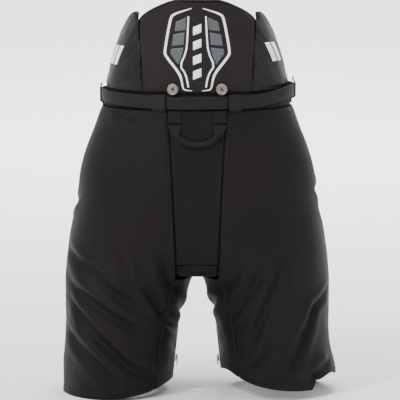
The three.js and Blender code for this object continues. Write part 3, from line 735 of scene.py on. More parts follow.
def plain_weave(tree, given, wanted):
    """Threads over and under each other: where the two sines have the same sign the one
    way's thread is on top, and elsewhere the other way's."""
    split = add_node(tree, "ShaderNodeSeparateXYZ")
    feed(tree, split.inputs[0], given["Vector"])
    turns = calc(tree, "MULTIPLY", given["Threads"], np.pi)
    along = calc(tree, "SINE", calc(tree, "MULTIPLY", split.outputs[0], turns))
    up = calc(tree, "SINE", calc(tree, "MULTIPLY", split.outputs[1], turns))
    over = calc(tree, "GREATER_THAN", calc(tree, "MULTIPLY", along, up), 0.0)
    first, second = calc(tree, "ABSOLUTE", along), calc(tree, "ABSOLUTE", up)
    chosen = calc(tree, "MULTIPLY", over, calc(tree, "SUBTRACT", first, second))
    feed(tree, wanted["Height"], calc(tree, "ADD", second, chosen))


def rib_knit(tree, given, wanted):
    """Upright ribs with a row of stitches up each."""
    split = add_node(tree, "ShaderNodeSeparateXYZ")
    feed(tree, split.inputs[0], given["Vector"])
    turns = calc(tree, "MULTIPLY", given["Threads"], np.pi)
    rib = calc(tree, "ABSOLUTE", calc(tree, "SINE", calc(tree, "MULTIPLY", split.outputs[0], turns)))
    climb = calc(tree, "MULTIPLY", split.outputs[1], calc(tree, "MULTIPLY", turns, 2.3))
    stitch = calc(tree, "SINE", calc(tree, "ADD", climb, calc(tree, "MULTIPLY", rib, 2.0)))
    fine = calc(tree, "MULTIPLY_ADD", stitch, 0.18, 0.8)
    feed(tree, wanted["Height"], calc(tree, "MULTIPLY", rib, fine))


def herringbone(tree, given, wanted):
    """Webbing: fine slanted ribs that change direction in bands across its width."""
    split = add_node(tree, "ShaderNodeSeparateXYZ")
    feed(tree, split.inputs[0], given["Vector"])
    turns = calc(tree, "MULTIPLY", given["Threads"], np.pi)
    bands = calc(tree, "PINGPONG", split.outputs[1], 3.4 * MM)
    slant = calc(tree, "MULTIPLY_ADD", bands, 0.9, split.outputs[0])
    rib = calc(tree, "ABSOLUTE", calc(tree, "SINE", calc(tree, "MULTIPLY", slant, turns)))
    edge = calc(tree, "ABSOLUTE", calc(tree, "SINE", calc(tree, "MULTIPLY", split.outputs[1], turns)))
    feed(tree, wanted["Height"], calc(tree, "MULTIPLY_ADD", edge, 0.3, rib))


def uneven(tree, given, wanted):
    """Slow fading of the colour, and fine lint and scuffs over it."""
    slow = add_node(tree, "ShaderNodeTexNoise")
    slow.inputs["Scale"].default_value = 14.0
    slow.inputs["Detail"].default_value = 3.0
    fine = add_node(tree, "ShaderNodeTexNoise")
    fine.inputs["Scale"].default_value = 420.0
    fine.inputs["Detail"].default_value = 2.0
    for noise_node in (slow, fine):
        feed(tree, noise_node.inputs["Vector"], given["Vector"])
    feed(tree, wanted["Fade"], slow.outputs[0])
    feed(tree, wanted["Lint"], fine.outputs[0])


def grain(tree, given, wanted):
    """Pebbled grain of moulded plastic or the cells of a foam, from a cell pattern."""
    cells = add_node(tree, "ShaderNodeTexVoronoi")
    feed(tree, cells.inputs["Vector"], given["Vector"])
    feed(tree, cells.inputs["Scale"], given["Threads"])
    feed(tree, wanted["Height"], cells.outputs["Distance"])


WEAVE_INPUTS = [("Vector", "NodeSocketVector"), ("Threads", "NodeSocketFloat")]
WEAVES = {
    "plain weave": plain_weave, "rib knit": rib_knit, "herringbone": herringbone, "grain": grain,
}


def place_on(tree, kind):
    """Flat coordinates in metres: the cloth's own map, or two of the object's axes."""
    if kind == "cloth":
        return add_node(tree, "ShaderNodeUVMap", uv_map=CLOTH_MAP).outputs[0]
    here = add_node(tree, "ShaderNodeTexCoord").outputs["Object"]
    if kind == "solid":
        return here
    split, flat = add_node(tree, "ShaderNodeSeparateXYZ"), add_node(tree, "ShaderNodeCombineXYZ")
    feed(tree, split.inputs[0], here)
    across = split.outputs[0]
    if kind == "side":
        across = calc(tree, "ADD", calc(tree, "ABSOLUTE", across), split.outputs[1])
    feed(tree, flat.inputs[0], across)
    feed(tree, flat.inputs[1], split.outputs[2])
    return flat.outputs[0]


def finish(name, colour, weave, threads, depth, roughness, place="cloth", sheen=0.0, fade=0.3,
           contrast=0.35, metal=0.0, coat=0.0, specular=0.5):
    """A material: its colour is darker in the gaps of the weave, which is painted shade in those
    recesses, and fades slowly; its roughness follows the lint, and weave and lint are raised by a bump."""
    if name in bpy.data.materials:
        return bpy.data.materials[name]
    material = bpy.data.materials.new(name)
    material.use_nodes = True
    tree = material.node_tree
    shader = tree.nodes["Principled BSDF"]
    here = place_on(tree, place)
    pattern = add_node(tree, "ShaderNodeGroup")
    pattern.node_tree = effect_group(weave, WEAVE_INPUTS, ["Height"], WEAVES[weave])
    feed(tree, pattern.inputs["Vector"], here)
    pattern.inputs["Threads"].default_value = threads
    age = add_node(tree, "ShaderNodeGroup")
    age.node_tree = effect_group("uneven", WEAVE_INPUTS[:1], ["Fade", "Lint"], uneven)
    feed(tree, age.inputs["Vector"], add_node(tree, "ShaderNodeTexCoord").outputs["Object"])
    height = pattern.outputs["Height"]
    # Painted shade: the colour is darker where the pattern is low, in the gaps of a weave and the pits of a
    # grain; on the button metal this darkening is its dark patina.
    light = calc(tree, "MULTIPLY_ADD", height, contrast, 1 - contrast / 2)
    slow = calc(tree, "MULTIPLY_ADD", age.outputs["Fade"], fade * 2, 1 - fade)
    lint = calc(tree, "MULTIPLY_ADD", age.outputs["Lint"], 0.3, 0.85)
    factor = calc(tree, "MULTIPLY", calc(tree, "MULTIPLY", light, slow), lint)
    tint = add_node(tree, "ShaderNodeVectorMath", operation="SCALE")
    tint.inputs[0].default_value = colour
    feed(tree, tint.inputs["Scale"], factor)
    feed(tree, shader.inputs["Base Color"], tint.outputs[0])
    feed(tree, shader.inputs["Roughness"], calc(tree, "MULTIPLY_ADD", age.outputs["Lint"], 0.24,
                                                roughness - 0.12))
    raised = add_node(tree, "ShaderNodeBump")
    raised.inputs["Distance"].default_value = depth
    raised.inputs["Strength"].default_value = 0.34
    feed(tree, raised.inputs["Height"], calc(tree, "MULTIPLY_ADD", age.outputs["Lint"], 0.5, height))
    feed(tree, shader.inputs["Normal"], raised.outputs[0])
    shader.inputs["Metallic"].default_value = metal
    shader.inputs["Specular IOR Level"].default_value = specular
    shader.inputs["Sheen Weight"].default_value = sheen
    shader.inputs["Sheen Roughness"].default_value = 0.35
    shader.inputs["Coat Weight"].default_value = coat
    shader.inputs["Coat Roughness"].default_value = 0.3
    return material


def dyed(name):
    return tuple(getattr(bpy.context.scene.pants_colours, name))


def context_shape():
    return bpy.context.scene.pants_shape


FINISHES = {
    "shell": lambda: finish("shell cloth", dyed("shell"), "plain weave", 1300, 0.10 * MM, 0.58,
                            sheen=0.012, fade=0.22, specular=0.1),
    "knit": lambda: finish("stretch knit", dyed("knit"), "rib knit", 520, 0.35 * MM, 0.85,
                           sheen=0.015, fade=0.15, contrast=0.7, specular=0.1),
    "binding": lambda: finish("binding tape", dyed("tape"), "herringbone", 900, 0.12 * MM, 0.75,
                              sheen=0.01, specular=0.15),
    "lining": lambda: finish("mesh lining", dyed("lining"), "plain weave", 420, 0.3 * MM, 0.8,
                             sheen=0.02, contrast=0.9, specular=0.15),
    "foam": lambda: finish("pad foam", dyed("foam"), "grain", 900, 0.2 * MM, 0.92, place="solid"),
    "cap": lambda: finish("moulded cap", dyed("plastic"), "grain", 1500, 0.05 * MM, 0.42,
                          place="solid", contrast=0.15),
    "spine": lambda: finish("spine pad cloth", dyed("spine"), "plain weave", 1000, 0.12 * MM, 0.66,
                            place="back", sheen=0.02, fade=0.15, specular=0.14),
    "kidney": lambda: finish("kidney pad nylon", dyed("kidney"), "plain weave", 1200, 0.08 * MM,
                             0.42, place="side", sheen=0.0, fade=0.15, specular=0.2),
    "webbing": lambda: finish("belt webbing", dyed("webbing"), "herringbone", 620, 0.28 * MM, 0.62,
                              sheen=0.015, contrast=0.6, specular=0.2),
    "handle": lambda: finish("handle webbing", dyed("webbing"), "herringbone", 620, 0.3 * MM, 0.7,
                             sheen=0.02, contrast=0.6, specular=0.15),
    "plastic": lambda: finish("buckle plastic", dyed("plastic"), "grain", 2200, 0.03 * MM, 0.44,
                              place="solid", contrast=0.12, specular=0.25),
    "steel": lambda: finish("button metal", dyed("metal"), "grain", 620, 0.12 * MM, 0.4,
                            place="solid", metal=1.0, contrast=1.3, fade=0.3),
    "zip_metal": lambda: finish("zip metal", dyed("zip_metal"), "grain", 1800, 0.03 * MM, 0.38,
                                place="solid", metal=1.0, contrast=0.2),
    "zip_cloth": lambda: finish("zip tape", dyed("tape"), "herringbone", 1100, 0.12 * MM, 0.75),
    "teeth": lambda: finish("zip teeth", dyed("plastic"), "grain", 2600, 0.02 * MM, 0.4,
                            place="solid", contrast=0.1),
    "thread": lambda: finish("sewing thread", dyed("thread"), "grain", 3200, 0.05 * MM, 0.6,
                             place="solid", contrast=0.3, specular=0.2),
    "print_white": lambda: finish("white print", dyed("print_white"), "grain", 1400, 0.03 * MM,
                                  0.5, place="solid", contrast=0.06, fade=0.05),
    "print_grey": lambda: finish("grey print", dyed("print_grey"), "plain weave", 900, 0.05 * MM,
                                 0.45, place="back", contrast=0.25, fade=0.1),
    "print_black": lambda: finish("black print", dyed("tape"), "grain", 1400, 0.02 * MM, 0.5,
                                  place="solid", contrast=0.1),
}


def colour_property(label, described, value):
    return FloatVectorProperty(name=label, description=described, default=value, size=3,
                               subtype="COLOR", min=0, max=1)


class PantsShape(bpy.types.PropertyGroup):
    fold_depth: FloatProperty(
        name="Fold depth", description="How deep the folds of the legs are, as a factor",
        default=1.0, min=0, max=2, subtype="FACTOR")
    stitch_pitch: FloatProperty(
        name="Stitch pitch", description="From one stitch to the next", default=3.4 * MM,
        unit="LENGTH")
    stitch_length: FloatProperty(
        name="Stitch length", description="Length of one stitch", default=2.5 * MM, unit="LENGTH")
    pad_swell: FloatProperty(
        name="Pad swell", description="Furthest that the filling pushes a pad's cover out",
        default=3.2 * MM, unit="LENGTH")
    quilt_pitch: FloatProperty(
        name="Quilting pitch", description="Spacing of the lining's quilting lines",
        default=42 * MM, unit="LENGTH")


class PantsColours(bpy.types.PropertyGroup):
    shell: colour_property("Shell", "Outer cloth of the legs", (0.0080, 0.0061, 0.0063))
    knit: colour_property("Knit", "Stretch panels", (0.0090, 0.0087, 0.0082))
    tape: colour_property("Tape", "Binding and zip tape", (0.0045, 0.0045, 0.0045))
    lining: colour_property("Lining", "Mesh lining", (0.012, 0.012, 0.013))
    foam: colour_property("Foam", "Foam of the pads", (0.09, 0.095, 0.1))
    plastic: colour_property("Plastic", "Caps, inserts and buckle", (0.007, 0.007, 0.0075))
    spine: colour_property("Spine pad", "Cover of the spine pad", (0.0125, 0.0096, 0.0100))
    kidney: colour_property("Kidney pads", "Nylon of the kidney pads", (0.0046, 0.0052, 0.0052))
    webbing: colour_property("Webbing", "Belt, loops and handle", (0.0045, 0.0046, 0.0041))
    metal: colour_property("Metal", "Suspender buttons", (0.21, 0.195, 0.17))
    zip_metal: colour_property("Zip metal", "Zip sliders and pulls", (0.030, 0.030, 0.031))
    thread: colour_property("Thread", "Sewing thread", (0.014, 0.0125, 0.0125))
    print_white: colour_property("White print", "Lines on the spine pad", (0.92, 0.92, 0.92))
    print_grey: colour_property("Grey print", "Blocks on the spine pad", (0.060, 0.068, 0.075))


# ---- shell ----
def shell_panel(side, start, stop, top, rows, columns):
    """Outer and inner face of a panel: a grid between two seams, from the hem line up."""
    u, v = unit_grid(rows, columns)
    height = lerp(hem_height(side, lerp(start(0.0), stop(0.0), u)), top, v)
    angle = lerp(start(height), stop(height), u)
    offset = shell_offset(side, angle, height)
    sign = SIDES[side]
    outer = body_point(angle, height, offset, sign)
    return outer, body_point(angle, height, offset - SHELL_THICKNESS, sign)


def level(angle):
    return lambda height: angle + 0 * np.asarray(height)


class PANTS_OT_shell(bpy.types.Operator):
    """Makes the outer cloth: a back, a front and an inner leg panel on each side"""
    bl_idname = "pants.shell"
    bl_label = "Shell panels"

    def execute(self, context):
        edge = 0.25
        for side in SIDES:
            back = shell_panel(side, back_seam, level(SIDE_SEAM - edge), SHELL_TOP, 176, 92)
            front = shell_panel(side, level(SIDE_SEAM + edge), front_seam, SHELL_TOP, 176, 82)
            for place, grids in (("back", back), ("front", front)):
                piece = add_cloth(f"{place}_shell_{side}", *grids, "shell", flat="gathered")
                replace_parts(piece, f"{place}_panel_{side}")
            self.inner_leg(side)
        return {"FINISHED"}

    def inner_leg(self, side):
        """Two halves that part at the zip below and meet in a seam above it."""
        def slot(height):
            half = ZIP_HALF * ease((ZIP_TOP - height) / (5 * MM)) + 0.15 * MM
            return np.degrees(half / GIRTH)

        top = CROTCH - SEAM_GAP
        halves = [
            shell_panel(side, level(FORK_ANGLE - 0.3), lambda z: -90 + slot(z), top, 84, 22),
            shell_panel(side, lambda z: -90 - slot(z), level(-180 - FORK_ANGLE + 0.3), top, 84, 22),
        ]
        part = gathered_parts([closed_sheet(*half) for half in halves])
        cloth = []
        for outer, _ in halves:
            steps = np.linalg.norm(np.diff(outer, axis=1), axis=-1).mean(axis=0)
            place = np.broadcast_arrays(np.r_[0, np.cumsum(steps)][None, :], outer[..., 2])
            cloth += [np.stack(place, -1).reshape(-1, 2)] * 2
        piece = add_piece(f"inner_leg_shell_{side}", part, "shell", cloth=np.concatenate(cloth))
        width = sum(quad_area(outer) for outer, _ in halves) / top
        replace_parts(piece, f"inner_leg_panel_{side}")


class PANTS_OT_sewing(bpy.types.Operator):
    """Sews the hems and the seams of the shell with rows of thread"""
    bl_idname = "pants.sewing"
    bl_label = "Shell sewing"

    def execute(self, context):
        beside = np.degrees(4.2 * MM / GIRTH)
        for side in SIDES:
            around = np.linspace(-262, 82, 700)
            shell_stitches(f"hem_stitching_{side}", side, around, hem_height(side, around) + HEM_FOLD)
            up = np.linspace(HEM_FOLD + 30 * MM, SHELL_TOP - 4 * MM, 500)
            shell_stitches(f"side_stitching_{side}", side, SIDE_SEAM - beside, up)
            above = np.linspace(CROTCH + 6 * MM, SHELL_TOP - 4 * MM, 400)
            shell_stitches(f"gusset_stitching_{side}", side, back_seam(above) + beside, above)
            shell_stitches(f"fly_stitching_{side}", side, front_seam(above) - beside, above)
        return {"FINISHED"}


# ---- centre strips ----
class PANTS_OT_gussets(bpy.types.Operator):
    """Makes the ribbed stretch strips: back gusset, fork gusset and fly facing"""
    bl_idname = "pants.gussets"
    bl_label = "Gussets"
    edge_inset = 0.9 * MM
    rib_pitch = 3.6 * MM
    thickness = 2.2 * MM

    def execute(self, context):
        self.upright("back_gusset_knit", "back_gusset", gusset_point, gusset_half, GUSSET_BOTTOM, 143, 90)
        self.upright("fly_facing_knit", "fly_facing", front_strip_point, front_half, FLY_BOTTOM, 63, 60)
        self.fork()
        return {"FINISHED"}

    def ribs(self, u, x):
        """Rounded upright ribs that sink into the seam at both edges."""
        return (0.45 * MM * np.abs(np.cos(np.pi * x / self.rib_pitch))
                - 1.4 * MM * bump((1 - np.abs(u)) * 40 * MM, 2.2 * MM))

    def upright(self, name, node, surface, half, bottom, columns, rows):
        u = np.linspace(-1, 1, columns)[None, :]
        height = np.linspace(bottom + SEAM_GAP, SHELL_TOP, rows)[:, None]
        x = u * (half(height) - self.edge_inset)
        offset = self.ribs(u, x) + 0.5 * MM * noise(x / 0.03, height / 0.05, 21)
        outer = surface(x + 0 * height, height + 0 * x, offset)
        inner = surface(x + 0 * height, height + 0 * x, offset - self.thickness)
        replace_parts(add_cloth(name, outer, inner, "knit", flat="stretched"), node)

    def fork(self):
        """Strip along a smooth line from the back gusset, under the fork and up to the fly."""
        back = gusset_point(np.array([0.0]), np.array([GUSSET_BOTTOM]))[0, 1]
        turn = back_point(np.array([GUSSET_FORK_HALF]), np.array([CROTCH]))[0, 1]
        front_turn = front_point(np.array([GUSSET_FORK_HALF]), np.array([CROTCH]))[0, 1]
        lift = np.array([25, 65]) * MM + CROTCH
        front = front_strip_point(np.zeros(3), np.r_[lift, FLY_BOTTOM])[:, 1]
        line = rounded_line([
            (back, GUSSET_BOTTOM - 1 * MM), (lerp(back, turn, 0.55), CROTCH + 11 * MM),
            (turn + 6 * MM, CROTCH + 2 * MM), (turn * 0.4, CROTCH + 1.4 * MM),
            (front_turn * 0.4, CROTCH + 1.4 * MM), (front_turn - 6 * MM, CROTCH + 2 * MM),
            (front[0], lift[0]), (front[1], lift[1]), (front[2], FLY_BOTTOM - 1 * MM),
        ], rounds=4)
        path = np.stack([np.zeros(len(line)), line[:, 0], line[:, 1]], -1)
        path = resampled(path, 2.4 * MM)
        ahead = unit(np.gradient(path, axis=0))
        out = np.stack([0 * path[:, 0], ahead[:, 2], -ahead[:, 1]], -1)
        low_part = 1 - ease((path[:, 2] - CROTCH - 4 * MM) / (16 * MM))
        upper = np.where(path[:, 1] < 0, gusset_half(path[:, 2]), front_half(path[:, 2]))
        under = lerp(18 * MM, GUSSET_FORK_HALF, np.clip((path[:, 1] / turn) ** 2, 0, 1))
        half = lerp(upper, np.minimum(under, upper), low_part)[:, None] - self.edge_inset
        u = np.linspace(-1, 1, 61)[None, :]
        x = u * half
        offset = self.ribs(u, x)
        base = path[:, None] + np.stack([x, 0 * x, 0 * x], -1)
        outer = base + out[:, None] * offset[..., None]
        inner = base + out[:, None] * (offset - self.thickness)[..., None]
        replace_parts(add_cloth("fork_gusset_knit", outer, inner, "knit", flat="stretched"),
                    "crotch_gusset")


# ---- bands ----
class PANTS_OT_bands(bpy.types.Operator):
    """Makes the hem rings, the padded waistband and the fly flap"""
    bl_idname = "pants.bands"
    bl_label = "Bands and fly"

    def execute(self, context):
        for side in SIDES:
            self.hem_ring(side)
        self.waistband()
        self.fly_flap()
        return {"FINISHED"}

    def hem_ring(self, side):
        """Ring under the leg that closes shell, pads and lining: a rounded strap section
        carried round the hem line, flat side down, and open at the zip."""
        slit = np.degrees((ZIP_HALF + 2 * MM) / GIRTH)
        angle = np.linspace(slit - 90, 270 - slit, 200)
        sign = SIDES[side]
        width, thick = LINING_INSET - 1.5 * MM, 3.6 * MM
        hem = hem_height(side, angle)
        offset = shell_offset(side, angle, hem + 4 * MM)
        inset = SHELL_THICKNESS + 0.3 * MM + width / 2
        middle = body_point(angle, hem + 3 * MM, offset - inset, sign)
        outer = body_point(angle, hem + 3 * MM, offset, sign)
        across = unit(outer - middle)
        up = np.tile((0.0, 0.0, 1.0), (len(angle), 1))
        rings = carried(middle, across, up, strap_profile(width, thick, 0.3 * MM))
        piece = add_piece(f"hem_ring_{side}", tube(rings), "binding",
                          cloth=strap_cloth(middle, width, rings))
        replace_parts(piece, f"hem_binding_{side}")

    def waistband(self):
        opening = np.degrees(np.arcsin((FLY_HALF + 1.5 * MM) / WAIST_HALF))
        angle = np.linspace(-180 + opening, 180 - opening, 320)
        sign = np.where(angle < 0, -1, 1)
        middle = body_point(np.abs(angle), BELT_MIDDLE, -6 * MM)
        middle[:, 0] *= sign
        ahead = unit(np.gradient(middle, axis=0))
        up = np.tile((0.0, 0.0, 1.0), (len(angle), 1))
        out = unit(np.cross(ahead, up))
        turn = np.linspace(0, 2 * np.pi, 29)[:-1]
        half_up, half_out = (BAND_TOP - BAND_BOTTOM) / 2 + 1.1 * MM, 6 * MM
        puff = 1 + 0.03 * np.sin(np.arange(len(angle)) * 0.55)
        section = np.stack([half_up * np.sign(np.cos(turn)) * np.abs(np.cos(turn)) ** 0.45,
                            half_out * np.sign(np.sin(turn)) * np.abs(np.sin(turn)) ** 0.6], -1)
        rings = carried(middle, up, out * puff[:, None], section)
        piece = add_piece("padded_waistband", tube(rings), "binding",
                          cloth=strap_cloth(middle, 2 * half_up, rings))
        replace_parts(piece, "waistband")

    def fly_flap(self):
        """The flap follows the front; its four corners are rounded and its edge is thin."""
        (hinge, _, bottom), (free, _, top) = low("fly_flap"), high("fly_flap")
        u, v = unit_grid(90, 42)
        corner = 7 * MM
        gap_u = np.minimum(u, 1 - u) * (free - hinge)
        shrink = corner * (1 - np.sqrt(1 - (1 - np.clip(gap_u / corner, 0, 1)) ** 2))
        height = lerp(bottom + shrink, top - shrink, v)
        x = lerp(hinge, free, u) + 0 * height
        rim = np.minimum(gap_u + 0 * v, np.minimum(v, 1 - v) * (top - bottom) + 0 * u)
        puff = 0.5 * MM * noise(x / 0.02, height / 0.035, 5) - 0.8 * MM * bump(rim, 1.5 * MM)
        puff -= 0.5 * MM * bump(rim - 6 * MM, 1 * MM)
        outer = front_face(x, height, 3.7 * MM + puff)
        inner = front_face(x, height, 1.9 * MM + 0 * x)
        piece = add_cloth("fly_flap_cloth", outer, inner, "shell", "fly_flap", flat="laid")
        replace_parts(piece, "fly_flap")
        inset = 6 * MM
        edge = np.array([(hinge + inset, bottom + inset), (free - inset, bottom + inset),
                         (free - inset, top - inset), (hinge + inset, top - inset)])
        line = dense(rounded_line(np.concatenate([edge, edge[:1]]), 1), 1 * MM)
        points = front_face(line[:, 0], line[:, 1], 3.6 * MM + 0 * line[:, 0])
        out = np.tile((0.0, 1.0, 0.05), (len(points), 1))
        stitches("fly_flap_stitching", points, unit(out), body="fly_flap", lift=0.3 * MM)


def dense(line, step):
    """A flat line of points with more points along each straight piece."""
    flat = np.concatenate([line, 0 * line[:, :1]], 1)
    return resampled(flat, step)[:, :2]


def strap_cloth(path, width, rings):
    """Flat place of a carried section's points: length along the path, and way round."""
    around = np.linspace(0, 2 * width, rings.shape[1])
    place = np.broadcast_arrays(run_along(path)[:, None], around[None, :])
    return np.stack(place, -1).reshape(-1, 2)


# ---- lining and hidden pads ----
class PANTS_OT_lining(bpy.types.Operator):
    """Makes the quilted lining and finishes the caps and foams behind the shell"""
    bl_idname = "pants.lining"
    bl_label = "Lining and pads"

    def execute(self, context):
        for side in SIDES:
            self.half(side, "back")
            self.half(side, "front")
        for node in frame["nodes"].values():
            name = node["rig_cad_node"]
            if "_foam" in name:
                dress(node, "foam")
            elif "_cap" in name or "_insert" in name:
                dress(node, "cap")
        return {"FINISHED"}

    def half(self, side, place):
        """Sheet at a fixed depth behind the shell, pulled in along crossing quilting lines."""
        u, v = unit_grid(120, 64)
        middle = 1 * MM

        def inner_edge(height):
            return np.where(height < CROTCH, -90, angle_at(middle, height, -LINING_INSET))

        low_angle = lerp(-90, SIDE_SEAM, u) if place == "back" else lerp(SIDE_SEAM, 270, u)
        height = lerp(hem_height(side, low_angle) + 5.4 * MM, BAND_BOTTOM - SEAM_GAP, v)
        edge = inner_edge(height)
        if place == "back":
            angle = lerp(edge, SIDE_SEAM - 0.3, u)
        else:
            angle = lerp(SIDE_SEAM + 0.3, 180 - edge - 0.4, u)
        pitch = context_shape().quilt_pitch
        s = np.radians(angle) * (GIRTH - LINING_INSET)
        first = np.abs(((s + height) / pitch) % 1 - 0.5) * 2
        second = np.abs(((s - height) / pitch) % 1 - 0.5) * 2
        line = np.maximum(bump(1 - first, 0.12), bump(1 - second, 0.12))
        offset = -LINING_INSET - 0.2 * MM - 0.9 * MM * (1 - line) * 0.5 + 0.3 * MM * line
        sign = SIDES[side]
        outer = body_point(angle, height, offset, sign)
        inner = body_point(angle, height, offset - 1.3 * MM, sign)
        piece = add_cloth(f"{place}_quilted_lining_{side}", outer, inner, "lining", flat="stretched")
        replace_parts(piece, f"{place}_lining_{side}")


# ---- back support ----
SPINE_TOP_HALF, SPINE_SHOULDER_HALF, SPINE_BASE_HALF = 36 * MM, 92 * MM, 86 * MM
SPINE_SHOULDER = SUPPORT_TOP - 38 * MM
KIDNEY_TOP_BACK, KIDNEY_TOP_SIDE = 120 * MM, 72 * MM
KIDNEY_FRONT_ANGLE = 116.0
PAD_GAP = -1.0 * MM


def spine_half(height):
    """Half width of the spine pad: a straight flare, then a rounded shoulder to the top."""
    lower = (height - SUPPORT_BOTTOM) / (SPINE_SHOULDER - SUPPORT_BOTTOM)
    upper = np.clip((height - SPINE_SHOULDER) / (SUPPORT_TOP - SPINE_SHOULDER), 0, 1)
    return np.where(height <= SPINE_SHOULDER, lerp(SPINE_BASE_HALF, SPINE_SHOULDER_HALF, lower),
                    lerp(SPINE_SHOULDER_HALF, SPINE_TOP_HALF, upper**1.75))


def pad_form(surface, front, back, inset, across=44, up=40):
    """Closed pad form over surface(u, v, offset): its two faces come together at the rim."""
    u, v = np.broadcast_arrays(*unit_grid(up, across, inset, 1 - inset))
    rim = np.minimum(np.minimum(u, 1 - u), np.minimum(v, 1 - v)) / 0.09
    full = np.sqrt(1 - (1 - np.clip(rim, 0, 1)) ** 2)
    middle = (front + back) / 2
    thick = (front - back) / 2 * lerp(0.55, 1, full)
    return closed_sheet(surface(u, v, middle + thick), surface(u, v, middle - thick))


def filled(name, part, finish, body, is_sewn, voxel=3.4 * MM):
    """A padded piece: its form is remeshed in small cells, its filling pushes the cover out
    by cloth simulation, no point moves further than the pad swell, and one subdivision
    smooths it. Points where is_sewn holds stay where they are."""
    obj = add_piece(name, part, finish, body)
    remesh = obj.modifiers.new("cells", "REMESH")
    remesh.mode = "VOXEL"
    remesh.voxel_size = voxel
    remesh.use_smooth_shade = True
    apply_modifier(obj, remesh)
    before = coordinates(obj)
    group = obj.vertex_groups.new(name="sewn edge")
    sewn = np.flatnonzero(is_sewn(np.abs(before[:, 0]), before[:, 2]))
    group.add(sewn.tolist(), 1.0, "REPLACE")
    cloth = obj.modifiers.new("filling", "CLOTH")
    cloth.settings.quality = 5
    cloth.settings.vertex_group_mass = group.name
    cloth.settings.use_pressure = True
    cloth.settings.uniform_pressure_force = 4.0
    cloth.settings.effector_weights.gravity = 0.0
    cloth.point_cache.frame_start = 1
    cloth.point_cache.frame_end = 20
    scene = bpy.context.scene
    for step in range(1, 21):
        scene.frame_set(step)
    apply_modifier(obj, cloth)
    scene.frame_set(1)
    obj.vertex_groups.clear()
    moved = coordinates(obj) - before
    length = np.linalg.norm(moved, axis=1, keepdims=True)
    reach = context_shape().pad_swell
    print(name, "swells by up to", round(float(length.max()) / MM, 2), "mm")
    moved *= np.minimum(1, reach / np.maximum(length, 1e-9))
    set_coordinates(obj, before + moved)
    finer = obj.modifiers.new("finer", "SUBSURF")
    finer.levels = finer.render_levels = 1
    apply_modifier(obj, finer)
    obj.data.polygons.foreach_set("use_smooth", np.ones(len(obj.data.polygons), bool))
    return obj


def wrinkled(obj, shape):
    """Moves each point of a piece along its normal by shape(points, normals)."""
    points, normals = coordinates(obj), mesh_rows(obj.data.vertex_normals, "vector")
    set_coordinates(obj, points + normals * shape(points, normals)[:, None])


def rim_tape(name, cover, lining, body):
    """Binding round a pad's rim: a flat strap section carried along the closed line midway
    between the cover's rim and the lining's, as wide as the two are apart."""
    middle, across = (cover + lining) / 2, unit(cover - lining)
    deep = float(np.linalg.norm(cover - lining, axis=1).mean())
    ahead = unit(np.roll(middle, -1, axis=0) - np.roll(middle, 1, axis=0))
    out = unit(np.cross(across, ahead))
    out *= np.sign((out * (middle - middle.mean(axis=0))).sum())
    middle = middle - out * 0.5 * MM
    rings = carried(middle, across, out, strap_profile(deep, 1.8 * MM, 0.8 * MM))
    add_piece(name, tube(rings, closed=True), "binding", body,
              cloth=strap_cloth(middle, deep, rings))


def flex_strip(name, angle, sign):
    """Stretch strip sewn between the waistband and a pad."""
    height = np.linspace(BAND_TOP - 3.5 * MM, SUPPORT_BOTTOM + 5 * MM, 14)[:, None]
    grids = [body_point(angle[None, :], height, depth, sign) for depth in (-5.2 * MM, -6.4 * MM)]
    strip = add_cloth(name, *grids, "knit", body=None)
    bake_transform(strip)


def quilted(u, v, rows, columns):
    """0 to 1 over a pad's inner face: 0 at the rim, and low along crossing quilting lines."""
    lines = np.maximum(bump((u * columns) % 1 - 0.5, 0.09), bump((v * rows) % 1 - 0.5, 0.11))
    rim = np.minimum(np.minimum(u, 1 - u), np.minimum(v, 1 - v)) / 0.05
    return np.sqrt(1 - (1 - np.clip(rim, 0, 1)) ** 2) * (1 - 0.6 * lines)


def grid_normals(grid, outward):
    normal = unit(np.cross(np.gradient(grid, axis=1), np.gradient(grid, axis=0)))
    facing = np.sign((normal * outward).sum(-1, keepdims=True))
    return normal * np.where(facing == 0, 1, facing)


def film(name, grids, pad, finish, body, outward, low_face=0.02 * MM, top_face=0.3 * MM):
    """Thin printed film: each grid is laid on the nearest points of the pad's surface and
    given a thickness that stands just proud of the cloth."""
    counts = np.cumsum([0] + [grid.shape[0] * grid.shape[1] for grid in grids])
    flat = np.concatenate([grid.reshape(-1, 3) for grid in grids])
    mesh = bpy.data.meshes.new(name + "_guide")
    mesh.from_pydata(flat.tolist(), [], [])
    guide = bpy.data.objects.new(name + "_guide", mesh)
    bpy.context.scene.collection.objects.link(guide)
    laid = guide.modifiers.new("laid", "SHRINKWRAP")
    laid.target = pad
    laid.wrap_method = "NEAREST_SURFACEPOINT"
    laid.wrap_mode = "ON_SURFACE"
    apply_modifier(guide, laid)
    points = coordinates(guide)
    bpy.data.objects.remove(guide)
    parts = []
    for grid, start, stop in zip(grids, counts[:-1], counts[1:]):
        here = points[start:stop].reshape(grid.shape)
        normal = grid_normals(here, outward)
        parts.append(closed_sheet(here + normal * top_face, here + normal * low_face))
    return add_piece(name, oriented(parts), finish, body)


def oriented(parts):
    """The parts gathered, each turned so that its faces point out."""
    turned_parts = [(p, q if signed_volume(p, q) > 0 else q[:, ::-1]) for p, q in parts]
    return gathered_parts(turned_parts)


def ribbon(line, width):
    """Grid of flat points on both sides of a flat line, width given at each of its points."""
    ahead = unit(np.gradient(line, axis=0))
    side = np.stack([-ahead[:, 1], ahead[:, 0]], -1) * np.asarray(width)[:, None] / 2
    return np.stack([line - side, line - side / 3, line + side / 3, line + side], 1)


